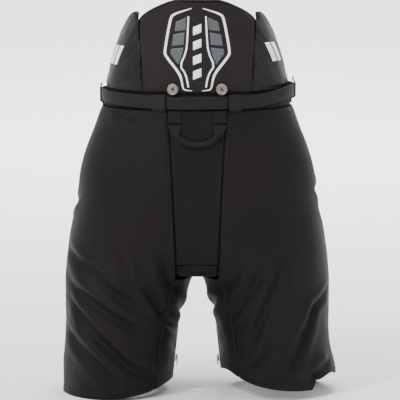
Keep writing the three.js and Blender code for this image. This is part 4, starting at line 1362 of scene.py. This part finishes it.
def between(left, right, step=2.0 * MM):
    """Grid of flat points between two flat lines with as many corners."""
    rows = max(4, int(np.ptp(np.array(left)[:, 1]) / step))
    share = np.linspace(0, 1, rows)
    left, right = (np.stack([np.interp(share, np.linspace(0, 1, len(edge)), np.array(edge)[:, k])
                             for k in range(2)], -1) for edge in (left, right))
    t = np.linspace(0, 1, max(4, int(abs(right[0, 0] - left[0, 0]) / step)))[None, :, None]
    return left[:, None] * (1 - t) + right[:, None] * t


def on_back_at(grid, offset=4 * MM):
    """Flat (x, height) points brought on to the back of the body."""
    return back_point(grid[..., 0], grid[..., 1], offset)


def millimetres(*points):
    return np.array(points, float) * MM


# Print on the left half of the spine pad, as (x, height) in millimetres; the right mirrors it.
OUTER_LINE = millimetres((-9, 618), (-37.6, 609), (-42.6, 602), (-51.4, 551.6), (-50.7, 544.4),
                         (-28.3, 517.6), (-24.3, 505.4), (-22.7, 493), (-19.2, 489.6), (-7, 488.4))
INNER_LINE = millimetres((-13.9, 605.6), (-15.5, 570.2), (-17.6, 549.5), (-27.4, 528.4),
                         (-19.2, 517.6), (-15.5, 505.4), (-13.9, 494))
BLOCKS = [
    (millimetres((-33.9, 596.8), (-36, 582.4)), millimetres((-17.6, 604), (-18.1, 584.5))),
    (millimetres((-38.1, 577.3), (-40.6, 559.4)), millimetres((-19.7, 581), (-21.3, 561.3))),
    (millimetres((-42.1, 554.7), (-42.6, 547.4), (-30.6, 531)),
     millimetres((-21.3, 557.3), (-23.2, 547.4), (-29.8, 531))),
]
OUTER_WIDTH, INNER_WIDTH, OUTLINE = 3.8 * MM, 2.6 * MM, 1.5 * MM


class PANTS_OT_spine_pad(bpy.types.Operator):
    """Makes the spine pad: filled cover with its print, insert, quilted lining and binding"""
    bl_idname = "pants.spine_pad"
    bl_label = "Spine pad"

    def execute(self, context):
        self.cover = filled("spine_pad", pad_form(self.surface, 1.6 * MM, -4.4 * MM, 0.004),
                            "spine", "spine_pad", self.is_sewn)
        wrinkled(self.cover, self.relief)
        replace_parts(self.cover, "spine_pad_cover")
        self.print_on_cover()
        self.lining()
        self.binding()
        reach = angle_at(SPINE_BASE_HALF, SUPPORT_BOTTOM, -5 * MM)
        for side, sign in SIDES.items():
            flex_strip(f"spine_pad_flex_strip_{side}", np.linspace(0, reach, 40), sign)
        return {"FINISHED"}

    def surface(self, u, v, offset):
        height = lerp(SUPPORT_BOTTOM, SUPPORT_TOP, v)
        x = lerp(-1, 1, u) * spine_half(height)
        edge = lerp(-2.2 * MM, 0, ease(v / 0.12))
        return back_point(x, height, offset + edge)

    def is_sewn(self, x, height):
        rim = np.minimum(SUPPORT_TOP - height, height - SUPPORT_BOTTOM)
        return np.minimum(rim, spine_half(height) - x) < 5 * MM

    def relief(self, points, normals):
        """A sewn line inside the rim, and a slow unevenness of the filling."""
        x, height = points[:, 0], points[:, 2]
        outer = normals[:, 1] < -0.2
        rim = np.minimum(spine_half(height) - np.abs(x), SUPPORT_TOP - height)
        sewn = -0.9 * MM * bump(rim - 8 * MM, 1.5 * MM)
        slow = 0.5 * MM * noise(x / 0.035, height / 0.04, 31)
        return np.where(outer, sewn + slow, 0)

    def print_on_cover(self):
        for side, sign in SIDES.items():
            flip = np.array((-sign, 1))
            outer = dense(rounded_line(OUTER_LINE, 2) * flip, 1.2 * MM)
            inner = dense(rounded_line(INNER_LINE, 1) * flip, 1.2 * MM)
            share = np.linspace(0, 1, len(outer))
            taper = OUTER_WIDTH * np.clip(0.3 + 3.2 * np.minimum(share, 1 - share), 0, 1)
            narrow = np.full(len(inner), INNER_WIDTH)
            self.lay(f"print_line_{side}", [ribbon(outer, taper), ribbon(inner, narrow)],
                     "print_white", 0.22 * MM)
            self.lay(f"print_outline_{side}",
                     [ribbon(outer, taper + OUTLINE), ribbon(inner, narrow + OUTLINE)],
                     "print_black", 0.12 * MM)
            blocks = [between(left * flip, right * flip) for left, right in BLOCKS]
            self.lay(f"print_block_{side}", blocks, "print_grey", 0.2 * MM)
        self.lay("print_bars", list(self.bars()), "print_white", 0.24 * MM)

    def bars(self):
        """A plain column of four slanted bars down the middle."""
        for low_edge in np.array((507, 530, 553, 576)) * MM:
            lean, tall, half = 5 * MM, 13 * MM, 6.5 * MM
            yield between([(-half, low_edge + tall), (-half, low_edge)],
                          [(half, low_edge + tall + lean), (half, low_edge + lean)])

    def lay(self, name, flat_grids, kind, top_face):
        grids = [on_back_at(grid) for grid in flat_grids]
        film(name, grids, self.cover, kind, "spine_pad", np.array((0, -1.0, 0)), top_face=top_face)

    def lining(self):
        """The pad's inner face: soft squares quilted between crossing lines."""
        def square(u, v, offset):
            height = lerp(SUPPORT_BOTTOM + 2 * MM, SUPPORT_TOP - 3 * MM, v)
            return back_point(lerp(-1, 1, u) * spine_half(height) * 0.96, height, offset)

        u, v = np.broadcast_arrays(*unit_grid(72, 90))
        inner = square(u, v, -13.4 * MM - 3.4 * MM * quilted(u, v, 4, 5))
        outer = square(u, v, -12.8 * MM + 0 * u)
        piece = add_cloth("spine_pad_quilting", outer, inner, "lining", "spine_pad")
        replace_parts(piece, "spine_pad_lining")

    def binding(self):
        """Tape round the rim that closes cover and lining together: a flat strap section
        carried along the pad's outline, its width from the cover to the lining."""
        height = np.linspace(SUPPORT_BOTTOM + 3 * MM, SUPPORT_TOP, 90)
        half = spine_half(height)
        top = np.linspace(1, -1, 24)[1:-1] * SPINE_TOP_HALF
        x = np.concatenate([half, top, -half[::-1]])
        z = np.concatenate([height, np.full(len(top), SUPPORT_TOP), height[::-1]])
        foot = SUPPORT_BOTTOM - 0.1 * MM
        below = np.linspace(-0.97, 0.97, 9)[:, None] * SPINE_BASE_HALF * (1, 0) + (0, foot)
        outline = rounded_line(np.concatenate([np.stack([x, z], -1)[::3], below]), 3)
        x, z = dense(np.concatenate([outline, outline[:1]]), 2 * MM)[:-1].T
        place = lerp(-2.6 * MM, 0.4 * MM, ease((z - foot) / (14 * MM)))
        rim_tape("spine_pad_binding", back_point(x, z, place), back_point(x, z, place - 17 * MM),
                 "spine_pad")


class PANTS_OT_kidney_pads(bpy.types.Operator):
    """Makes the two kidney pads: filled nylon covers with plain marks and edge binding"""
    bl_idname = "pants.kidney_pads"
    bl_label = "Kidney pads"

    def execute(self, context):
        for side in SIDES:
            body = f"kidney_pad_{side}"
            pad = filled(f"kidney_pad_{side}_cover", self.form(side), "kidney", body,
                         self.is_sewn, 3.2 * MM)
            wrinkled(pad, self.wrinkles)
            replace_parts(pad, f"kidney_pad_cover_{side}")
            self.marks(side, pad, body)
            self.inside(side, body)
            start = angle_at(SPINE_BASE_HALF, SUPPORT_BOTTOM, -5 * MM)
            angle = np.linspace(start + 0.5, KIDNEY_FRONT_ANGLE, 44)
            flex_strip(f"kidney_pad_{side}_flex_strip", angle, SIDES[side])
        return {"FINISHED"}

    def surface(self, side):
        sign = SIDES[side]

        def at(u, v, offset):
            top = lerp(KIDNEY_TOP_BACK, KIDNEY_TOP_SIDE, u**1.6) + SUPPORT_BOTTOM
            top = top + 10 * MM * bump(u - 0.3, 0.15) - 10 * MM * bump(u, 0.12)
            height = lerp(SUPPORT_BOTTOM - 0.6 * MM, top, v)
            start = angle_at(spine_half(height) + PAD_GAP, height, offset)
            angle = lerp(start, KIDNEY_FRONT_ANGLE, u)
            return body_point(angle, height, offset + lerp(-2 * MM, 0, ease(v / 0.14)), sign)

        return at

    def form(self, side):
        return pad_form(self.surface(side), 1.2 * MM, -4.6 * MM, 0.001, 46, 34)

    def is_sewn(self, x, height):
        inner = (x < spine_half(height) + PAD_GAP + 4 * MM) & (height < SPINE_SHOULDER)
        return inner | (height < SUPPORT_BOTTOM + 5 * MM)

    def wrinkles(self, points, normals):
        """Short creases that fan out from the inner edge, and a band sewn above the belt."""
        x, y, height = np.abs(points[:, 0]), points[:, 1], points[:, 2]
        outer = (normals * np.stack([points[:, 0], y, 0 * y], -1)).sum(-1) > 0
        run = x + y + 0.06
        low_part = 1 - ease((height - SUPPORT_BOTTOM) / (90 * MM))
        near = bump(x - SPINE_BASE_HALF, 24 * MM)
        fan = np.sin((height + 0.55 * run) / (3.6 * MM) + 2.2 * noise(run / 0.02, height / 0.03, 41))
        soft = noise(run / 0.02 + height / 0.03, height / 0.016, 43)
        shape = 0.75 * MM * near * (0.4 + 0.6 * low_part) * fan + 0.55 * MM * soft
        shape -= 0.9 * MM * bump(height - SUPPORT_BOTTOM - 7 * MM, 1.8 * MM)
        return np.where(outer, shape, 0.2 * MM * soft)

    def inside(self, side, body):
        """Quilted mesh behind the pad's insert, and the tape that binds the pad's rim."""
        at = self.surface(side)
        u, v = np.linspace(0.02, 0.98, 70)[None, :], np.linspace(0.02, 0.97, 56)[:, None]
        u, v = np.broadcast_arrays(u, v)
        inner = at(u, v, -8.8 * MM - 2.6 * MM * quilted(u, v, 3, 4))
        mesh = add_cloth(f"kidney_pad_{side}_quilting", at(u, v, -8.4 * MM), inner, "lining", body)
        square = np.array([(0.02, 0.004), (0.5, 0.004), (0.98, 0.004), (1, 0.03), (1, 0.5), (1, 0.97),
                           (0.98, 1), (0.7, 1), (0.45, 1), (0.3, 1), (0.15, 1), (0.06, 1),
                           (0.02, 0.985), (0, 0.94), (0, 0.5), (0, 0.03), (0.02, 0.004)])
        u, v = dense(square, 0.008)[:-1].T
        rim_tape(f"kidney_pad_{side}_binding", at(u, v, -0.2 * MM), at(u, v, -12.2 * MM), body)

    def marks(self, side, pad, body):
        """Two plain slanted bars on the pad's side."""
        sign = SIDES[side]
        grids = []
        first, drop = (57.0, 0) if side == "right" else (63.0, 6 * MM)
        for start in (first, first + 9):
            angle = lerp(start, start + 6.5, np.linspace(0, 1, 8))[None, :]
            share = np.linspace(0, 1, 18)[:, None]
            height = lerp(562 * MM, 532 * MM, share) - drop + 0 * angle
            grids.append(body_point(angle + 4 * share, height, 5 * MM, sign))
        outward = np.array((sign * 0.8, -0.6, 0))
        film(f"kidney_mark_{side}", grids, pad, "print_white", body, outward, top_face=0.25 * MM)


# ---- belt ----
BELT_OFFSET, BELT_THICKNESS = 1.2 * MM, 2 * MM
BELT_RISE = {"right": 13 * MM, "left": 6 * MM}
LOOP_STAND = 5.5 * MM
BUCKLE_HALF = (high("buckle_frame").x - low("buckle_frame").x) / 2


def belt_ride(angle):
    """How far the belt has ridden up at a signed angle, as a share of its rise there."""
    return ease((np.abs(angle) - 22) / 60) * (1 - ease((np.abs(angle) - 108) / 44))


def belt_height(angle):
    """Middle of the belt: it rides up over both hips, most over the right one."""
    return BELT_MIDDLE + np.where(angle > 0, BELT_RISE["right"], BELT_RISE["left"]) * belt_ride(angle)


def band_line(angle, offset, height=None):
    """Points round the waist at signed angles, negative on the left, and which way is out."""
    sign = np.where(angle < 0, -1.0, 1.0)
    point = body_point(np.abs(angle), BELT_MIDDLE, offset)
    point[:, 0] *= sign
    out = body_point(np.abs(angle), BELT_MIDDLE, offset + 1 * MM)
    out[:, 0] *= sign
    point[:, 2] = belt_height(angle) if height is None else height
    out[:, 2] = point[:, 2]
    return point, unit(out - point)


class PANTS_OT_belt(bpy.types.Operator):
    """Makes the webbing belt, its tail and the sewn loops that hold it"""
    bl_idname = "pants.belt"
    bl_label = "Belt"

    def execute(self, context):
        end = 180 - float(angle_at(BUCKLE_HALF + 0.6 * MM, BELT_MIDDLE, BELT_OFFSET))
        angle = np.linspace(-end, end, 420)
        sway = 0.35 * MM * np.sin(np.radians(angle) * 7)
        lift = np.where(angle > 0, 3.3 * MM, 1.2 * MM) * belt_ride(angle)
        belt = self.strap("belt", angle, BELT_OFFSET + BELT_THICKNESS / 2 + lift, sway,
                          BELT_HIGH - BELT_LOW, BELT_THICKNESS)
        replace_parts(belt, "belt_webbing")
        tail_low, tail_high = low("belt_tail"), high("belt_tail")
        x = np.linspace(tail_high.x, tail_low.x, 50)
        tail_angle = -(180 - angle_at(x, BELT_MIDDLE, 4.4 * MM))
        tail = self.strap("belt_loose_end", tail_angle, 5.4 * MM, 0 * x, BELT_HIGH - BELT_LOW,
                          BELT_THICKNESS)
        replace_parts(tail, "belt_tail")
        loop_x = (low("back_belt_loop_right").x + high("back_belt_loop_right").x) / 2
        loop_angle = float(angle_at(loop_x, BELT_MIDDLE, 0))
        for side, sign in SIDES.items():
            self.loop(f"back_loop_{side}", f"back_belt_loop_{side}", sign * loop_angle, LOOP_STAND, 27 * MM)
            stand, tall = (7.6 * MM, 40 * MM) if side == "right" else (LOOP_STAND, 34 * MM)
            self.loop(f"side_loop_{side}", f"side_belt_loop_{side}", sign * 92.0, stand, tall)
        return {"FINISHED"}

    def strap(self, name, angle, offset, sway, width, thickness):
        path, out = band_line(angle, offset)
        path[:, 2] += sway
        up = np.tile((0.0, 0.0, 1.0), (len(angle), 1))
        rings = carried(path, up, out, strap_profile(width, thickness, 0.15 * MM))
        return add_piece(name, tube(rings), "webbing", cloth=strap_cloth(path, width, rings))

    def loop(self, name, node, angle, stand, tall):
        """A strap sewn flat above and below the belt that stands out over it between."""
        width = 22 * MM
        s = np.linspace(-1, 1, 64)
        base, out = band_line(np.full(len(s), angle), 0.0)
        height = belt_height(angle) - 1 * MM + s * tall / 2
        over = 1 - ease((np.abs(height - belt_height(angle)) - 10 * MM) / (5 * MM))
        rest = lerp(1.0 * MM, 4.2 * MM, ease((height - BAND_TOP) / (6 * MM)))
        path = base + out * np.maximum(lerp(rest, stand, over), rest)[:, None]
        path[:, 2] = height
        ahead = unit(np.gradient(path, axis=0))
        across = unit(np.cross(out, (0.0, 0.0, 1.0)))
        normal = unit(np.cross(ahead, across))
        normal *= np.sign((normal * out).sum(-1, keepdims=True))
        rings = carried(path, across, normal, strap_profile(width, 1.7 * MM, 0.1 * MM))
        piece = add_piece(name, tube(rings), "webbing", cloth=strap_cloth(path, width, rings))
        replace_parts(piece, node)
        for place in (4, len(s) - 5):
            side = np.linspace(-0.42, 0.42, 24)[:, None] * width
            line = path[place] + across[place] * side + normal[place] * 0.9 * MM
            label = "low" if place == 4 else "high"
            stitches(f"{name}_{label}_bartack", line, np.tile(normal[place], (len(line), 1)))


# ---- carry handle ----
HANDLE_SPREAD = 35 * MM
HANDLE_END = 21 * MM
HANDLE_PIVOT = 436 * MM
HANDLE_DROP = 30 * MM


class PANTS_OT_handle(bpy.types.Operator):
    """Makes the carry handle with its rolled grip, and the two tabs that hold it"""
    bl_idname = "pants.handle"
    bl_label = "Carry handle"

    def execute(self, context):
        self.grip()
        for side, sign in SIDES.items():
            self.tab(side, sign)
        return {"FINISHED"}

    def grip(self):
        """The loop hangs in a flattened half circle. Its section is a wide flat strap at the
        sewn ends and narrows to a rounded roll in the middle."""
        t = np.linspace(0, np.pi, 120)
        across, down = np.cos(t), np.sin(t) ** 0.8
        share = np.minimum(t, np.pi - t) / np.pi
        flat = np.clip(1 - share / 0.2, 0, 1)
        wide = lerp(4.6 * MM, HANDLE_END / 2, ease(flat))
        thick = lerp(3.8 * MM, 1.2 * MM, ease(flat * 1.2))
        middle = 1.4 * MM + lerp(1.2 * MM, 4 * MM, np.minimum(1, down * 1.4))
        path = gusset_point(HANDLE_SPREAD * across, HANDLE_PIVOT - HANDLE_DROP * down, middle)
        ahead = unit(np.gradient(path, axis=0))
        side = unit(np.cross((0.0, 1.0, 0.0), ahead))
        out = unit(np.cross(ahead, side))
        turn = np.linspace(0, 2 * np.pi, 21)[:-1]
        crumple = 1 + 0.05 * np.sin(t * 46) * (1 - flat)
        section = np.stack([np.cos(turn), np.sin(turn)], -1)
        rings = (path[:, None] + side[:, None] * (section[None, :, :1] * wide[:, None, None])
                 + out[:, None] * (section[None, :, 1:] * (thick * crumple)[:, None, None]))
        piece = add_piece("handle_grip", tube(rings), "handle", "handle",
                          cloth=strap_cloth(path, HANDLE_END, rings))
        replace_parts(piece, "carry_handle")
        rolled = slice(14, -14)
        outward = self.outermost(out[rolled])
        line = path[rolled] + outward * (thick * crumple)[rolled, None]
        stitches("handle_stitching", line, outward, body="handle")

    def outermost(self, out):
        """The directions turned to point away from the pants, which is towards -Y."""
        return out * np.where(out[:, 1:2] > 0, -1, 1)

    def tab(self, side, sign):
        bottom, top = low(f"handle_tab_{side}").z, high(f"handle_tab_{side}").z
        u, v = np.linspace(-0.5, 0.5, 22)[None, :], np.linspace(0, 1, 30)[:, None]
        x = sign * HANDLE_SPREAD + HANDLE_END * u + 0 * v
        height = lerp(bottom, top, v) + 0 * u
        rim = np.minimum((0.5 - np.abs(u)) * HANDLE_END + 0 * v, np.minimum(v, 1 - v) * (top - bottom))
        round_off = 0.7 * MM * bump(rim, 0.8 * MM)
        outer = gusset_point(x, height, 2.9 * MM - round_off)
        inner = gusset_point(x, height, 0.9 * MM + 0 * x)
        piece = add_cloth(f"handle_tab_{side}_webbing", outer, inner, "handle")
        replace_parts(piece, f"handle_tab_{side}")
        half, inset = HANDLE_END / 2 - 2.4 * MM, 2.4 * MM
        left, right = sign * HANDLE_SPREAD - half, sign * HANDLE_SPREAD + half
        down, up = bottom + inset, top - inset
        box = np.array([(left, down), (right, down), (right, up), (left, up), (left, down),
                        (right, up), (left, up), (right, down)])
        flat = dense(box, 1 * MM)
        line = gusset_point(flat[:, 0], flat[:, 1], 2.95 * MM)
        out = np.tile((0.0, -1.0, 0.0), (len(line), 1))
        stitches(f"handle_tab_{side}_stitching", line, out)


# ---- buttons ----
class PANTS_OT_buttons(bpy.types.Operator):
    """Makes the six suspender buttons: rimmed heads with a pressed pattern on a short shank"""
    bl_idname = "pants.buttons"
    bl_label = "Suspender buttons"

    def execute(self, context):
        for side in SIDES:
            for kind, body, lift in (("back_button", "spine_pad", 1.6 * MM),
                                     ("front_button_inner", "root", 0), ("front_button_outer", "root", 0)):
                self.button(f"{kind}_{side}", body, lift)
        return {"FINISHED"}

    def button(self, node, body, lift):
        """Profile of radius and height turned about the axis; the face is pressed with rings
        of small dimples round a plain ring."""
        points = np.unique(coordinates(frame["nodes"][node]).round(6), axis=0)
        centre = points.mean(axis=0)
        _, _, axes = np.linalg.svd(points - centre)
        out = axes[2] * np.sign((axes[2] * (centre * (1, 1, 0))).sum())
        base = centre + out * ((points - centre) @ out).min()
        profile = np.array([(0.05, 0), (3.8, 0), (4.0, 0.8), (4.1, 1.5), (8.2, 1.5), (8.8, 1.9),
                            (9.0, 2.7), (8.8, 3.5), (8.2, 3.9), (7.6, 3.8), (7.2, 3.3), (6.6, 3.1),
                            (5.4, 3.15), (4.2, 3.2), (3.2, 3.25), (2.2, 3.25), (1.2, 3.3), (0.05, 3.3)])
        profile = rounded_line(profile * MM, 1)
        turn = np.linspace(0, 2 * np.pi, 49)[:-1]
        r, z = profile[:, :1] + 0 * turn, profile[:, 1:] + 0 * turn
        face = (np.arange(len(profile)) > len(profile) * 0.6)[:, None] * ease((6.8 * MM - r) / (1 * MM))
        dimple = np.sin(turn * 12)[None, :] * np.sin(r / (0.62 * MM))
        dimple += 0.8 * np.cos(turn * 2 + 0.7)[None, :] * bump(r - 3 * MM, 1.2 * MM)
        z = z + face * 0.5 * MM * dimple * ease(r / (1 * MM))
        first = unit(np.cross(out, (0.0, 0.0, 1.0)))
        second = np.cross(out, first)
        rings = (base + out * lift + first * (r * np.cos(turn))[..., None]
                 + second * (r * np.sin(turn))[..., None] + out * z[..., None])
        piece = add_piece(f"{node}_head", tube(rings), "steel", body, sharp=45)
        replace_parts(piece, node)


# ---- buckle and zips ----
class PANTS_OT_buckle(bpy.types.Operator):
    """Rounds the edges of the buckle's frame and lever, and finishes its pin"""
    bl_idname = "pants.buckle"
    bl_label = "Buckle"

    def execute(self, context):
        refined("buckle_frame", "plastic", "root", 0.6 * MM)
        refined("buckle_lever", "plastic", "buckle_lever", 0.5 * MM)
        dress(frame["nodes"]["buckle_pin"], "zip_metal")
        return {"FINISHED"}


class PANTS_OT_zips(bpy.types.Operator):
    """Makes the inner leg zips: tape, separate teeth, slider and pull"""
    bl_idname = "pants.zips"
    bl_label = "Leg zips"
    tape_depth = 2.2 * MM

    def execute(self, context):
        for side, sign in SIDES.items():
            self.zip(side, sign)
            refined(f"zip_slider_{side}", "zip_metal", f"zip_slider_{side}", 0.5 * MM)
            refined(f"zip_pull_{side}", "zip_metal", f"zip_pull_{side}", 0.35 * MM)
        return {"FINISHED"}

    def zip(self, side, sign):
        """A ribbed tape. Its middle line leans as the frame's tape does, and its foot is at
        the hem line of this leg."""
        lowest, highest = low("zip_tape_right"), high("zip_tape_right")
        bottom = float(hem_height(side, np.array(-90.0))) + 1 * MM
        share = (bottom - lowest.z) / (highest.z - lowest.z)
        top_x = lowest.x + self.tape_depth
        start = np.array((lerp(highest.x, top_x, share), FORWARD_SHIFT, bottom))
        end = np.array((top_x, FORWARD_SHIFT, highest.z))
        height = np.linspace(0, 1, 60)[:, None]
        y = np.linspace(-6.6, 6.6, 15)[None, :] * MM
        line = lerp(start, end, height[..., None])
        cord = 0.5 * MM * bump(np.abs(y) - 3.4 * MM, 0.7 * MM)
        x = line[..., 0] - 0.5 * MM - cord
        outer = np.stack(np.broadcast_arrays(sign * x, line[..., 1] + y, line[..., 2] + 0 * y), -1)
        inner = outer + np.array((sign * 0.9 * MM, 0, 0))
        piece = add_cloth(f"zip_cloth_{side}", outer, inner, "zip_cloth")
        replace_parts(piece, f"zip_tape_{side}")
        self.teeth(side, sign, start, end)

    def teeth(self, side, sign, start, end):
        """A row of small blocks that reach over the middle from either side in turn."""
        pitch = 1.35 * MM
        length = float(np.linalg.norm(end - start))
        count = int(length / pitch)
        place = start + (end - start) * ((np.arange(count) + 0.5) / count)[:, None]
        lean = np.where(np.arange(count) % 2 == 0, -1, 1) * 0.75 * MM
        size = np.array((0.7, 1.9, 0.48)) * MM
        corners = np.array([(x, y, z) for z in (-1, 1) for x, y in ((-1, -1), (1, -1), (1, 1), (-1, 1))])
        block = place[:, None] + corners[None] * size
        block[..., 0] -= 1.3 * MM
        block[..., 1] += lean[:, None]
        block[..., 0] *= sign
        _, quads = tube(np.zeros((2, 4, 3)))
        every = np.arange(count)[:, None, None] * 8 + quads[None]
        add_piece(f"zip_teeth_{side}", (block.reshape(-1, 3), every.reshape(-1, 4)), "teeth")


# ---- stage ----
class PANTS_OT_stage(bpy.types.Operator):
    """Sets the pale studio, its soft lights and the camera"""
    bl_idname = "pants.stage"
    bl_label = "Stage"

    def execute(self, context):
        self.studio()
        self.lights(context)
        self.camera(context)
        return {"FINISHED"}

    def studio(self):
        """A round floor that curves up into a low wall, turned about the upright axis."""
        turn = np.linspace(0, 2 * np.pi, 97)[:-1]
        bend = np.linspace(0, np.pi / 2, 12)
        radius = np.concatenate([[0.01, 2, 4, 6], 7 + 1.5 * np.sin(bend), [8.5]])
        height = np.concatenate([[0, 0, 0, 0], 1.5 - 1.5 * np.cos(bend), [5.0]])
        grid = np.stack([radius[:, None] * np.cos(turn), radius[:, None] * np.sin(turn),
                         height[:, None] + 0 * turn], -1)
        mesh = bpy.data.meshes.new("studio")
        quads = grid_quads(len(radius), len(turn), wrap=True)
        mesh.from_pydata(grid.reshape(-1, 3).tolist(), [], quads.tolist())
        mesh.polygons.foreach_set("use_smooth", np.ones(len(mesh.polygons), bool))
        floor = bpy.data.objects.new("studio", mesh)
        bpy.context.scene.collection.objects.link(floor)
        material = bpy.data.materials.new("pale studio")
        material.use_nodes = True
        shader = material.node_tree.nodes["Principled BSDF"]
        shader.inputs["Base Color"].default_value = (0.86, 0.86, 0.86, 1)
        shader.inputs["Roughness"].default_value = 0.9
        shader.inputs["Specular IOR Level"].default_value = 0.1
        mesh.materials.append(material)
        floor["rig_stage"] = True

    def lights(self, context):
        world = bpy.data.worlds.new("studio air")
        world.use_nodes = True
        world.node_tree.nodes["Background"].inputs["Color"].default_value = (1, 1, 1, 1)
        world.node_tree.nodes["Background"].inputs["Strength"].default_value = 1.0
        context.scene.world = world
        for name, place, size, power in (
                ("key", (-1.7, -2.3, 2.9), 1.0, 105), ("fill", (2.6, -1.9, 1.4), 1.6, 12),
                ("front", (0.9, 2.7, 2.4), 2.0, 50), ("top", (0, 0.2, 3.4), 1.6, 75),
                ("backdrop", (0, 3.2, 4.2), 3.0, 700)):
            data = bpy.data.lights.new(name, "AREA")
            data.shape = "DISK"
            data.size = size
            data.energy = power
            light = bpy.data.objects.new(name, data)
            light.location = place
            aim = Vector((0, 8, 0.6) if name == "backdrop" else (0, 0, 0.35)) - Vector(place)
            light.rotation_euler = aim.to_track_quat("-Z", "Y").to_euler()
            context.scene.collection.objects.link(light)

    def camera(self, context):
        """Straight behind the pants and a little above, with a long lens."""
        distance, elevation, frame_width, sensor = 6.0, np.radians(7.0), 0.637, 36.0
        target = Vector((4.4 * MM, 0, 305.5 * MM))
        data = bpy.data.cameras.new("camera")
        data.sensor_width = sensor
        data.lens = sensor * distance / frame_width
        data.clip_end = 60
        camera = bpy.data.objects.new("camera", data)
        away = Vector((0, -np.cos(elevation), np.sin(elevation))) * distance
        camera.location = target + away
        camera.rotation_euler = (-away).to_track_quat("-Z", "Y").to_euler()
        context.scene.collection.objects.link(camera)
        context.scene.camera = camera


OPERATORS = (
    PANTS_OT_stage, PANTS_OT_shell, PANTS_OT_sewing, PANTS_OT_gussets, PANTS_OT_bands,
    PANTS_OT_lining, PANTS_OT_spine_pad, PANTS_OT_kidney_pads, PANTS_OT_belt, PANTS_OT_handle,
    PANTS_OT_buttons, PANTS_OT_buckle, PANTS_OT_zips,
)


class PANTS_PT_sidebar(bpy.types.Panel):
    """Lists the sizes, colours and the operators that make the pants"""
    bl_idname = "PANTS_PT_sidebar"
    bl_label = "Hockey pants"
    bl_space_type = "VIEW_3D"
    bl_region_type = "UI"
    bl_category = "Hockey pants"

    def draw(self, context):
        for group in (context.scene.pants_shape, context.scene.pants_colours):
            box = self.layout.box()
            for name in group.bl_rna.properties.keys():
                if name not in ("name", "rna_type"):
                    box.prop(group, name)
        for operator in OPERATORS:
            self.layout.operator(operator.bl_idname)


CLASSES = (PantsShape, PantsColours, *OPERATORS, PANTS_PT_sidebar)


def register():
    for each in CLASSES:
        bpy.utils.register_class(each)
    bpy.types.Scene.pants_shape = PointerProperty(type=PantsShape)
    bpy.types.Scene.pants_colours = PointerProperty(type=PantsColours)


def unregister():
    del bpy.types.Scene.pants_colours
    del bpy.types.Scene.pants_shape
    for each in reversed(CLASSES):
        bpy.utils.unregister_class(each)


def main():
    register()
    for operator in OPERATORS:
        group, name = operator.bl_idname.split(".")
        getattr(getattr(bpy.ops, group), name)()
    boxes = {"cad": CAD_BOX, "visual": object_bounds()}
    plain = {name: [list(corner) for corner in box] for name, box in boxes.items()}


if __name__ == "__main__":
    main()
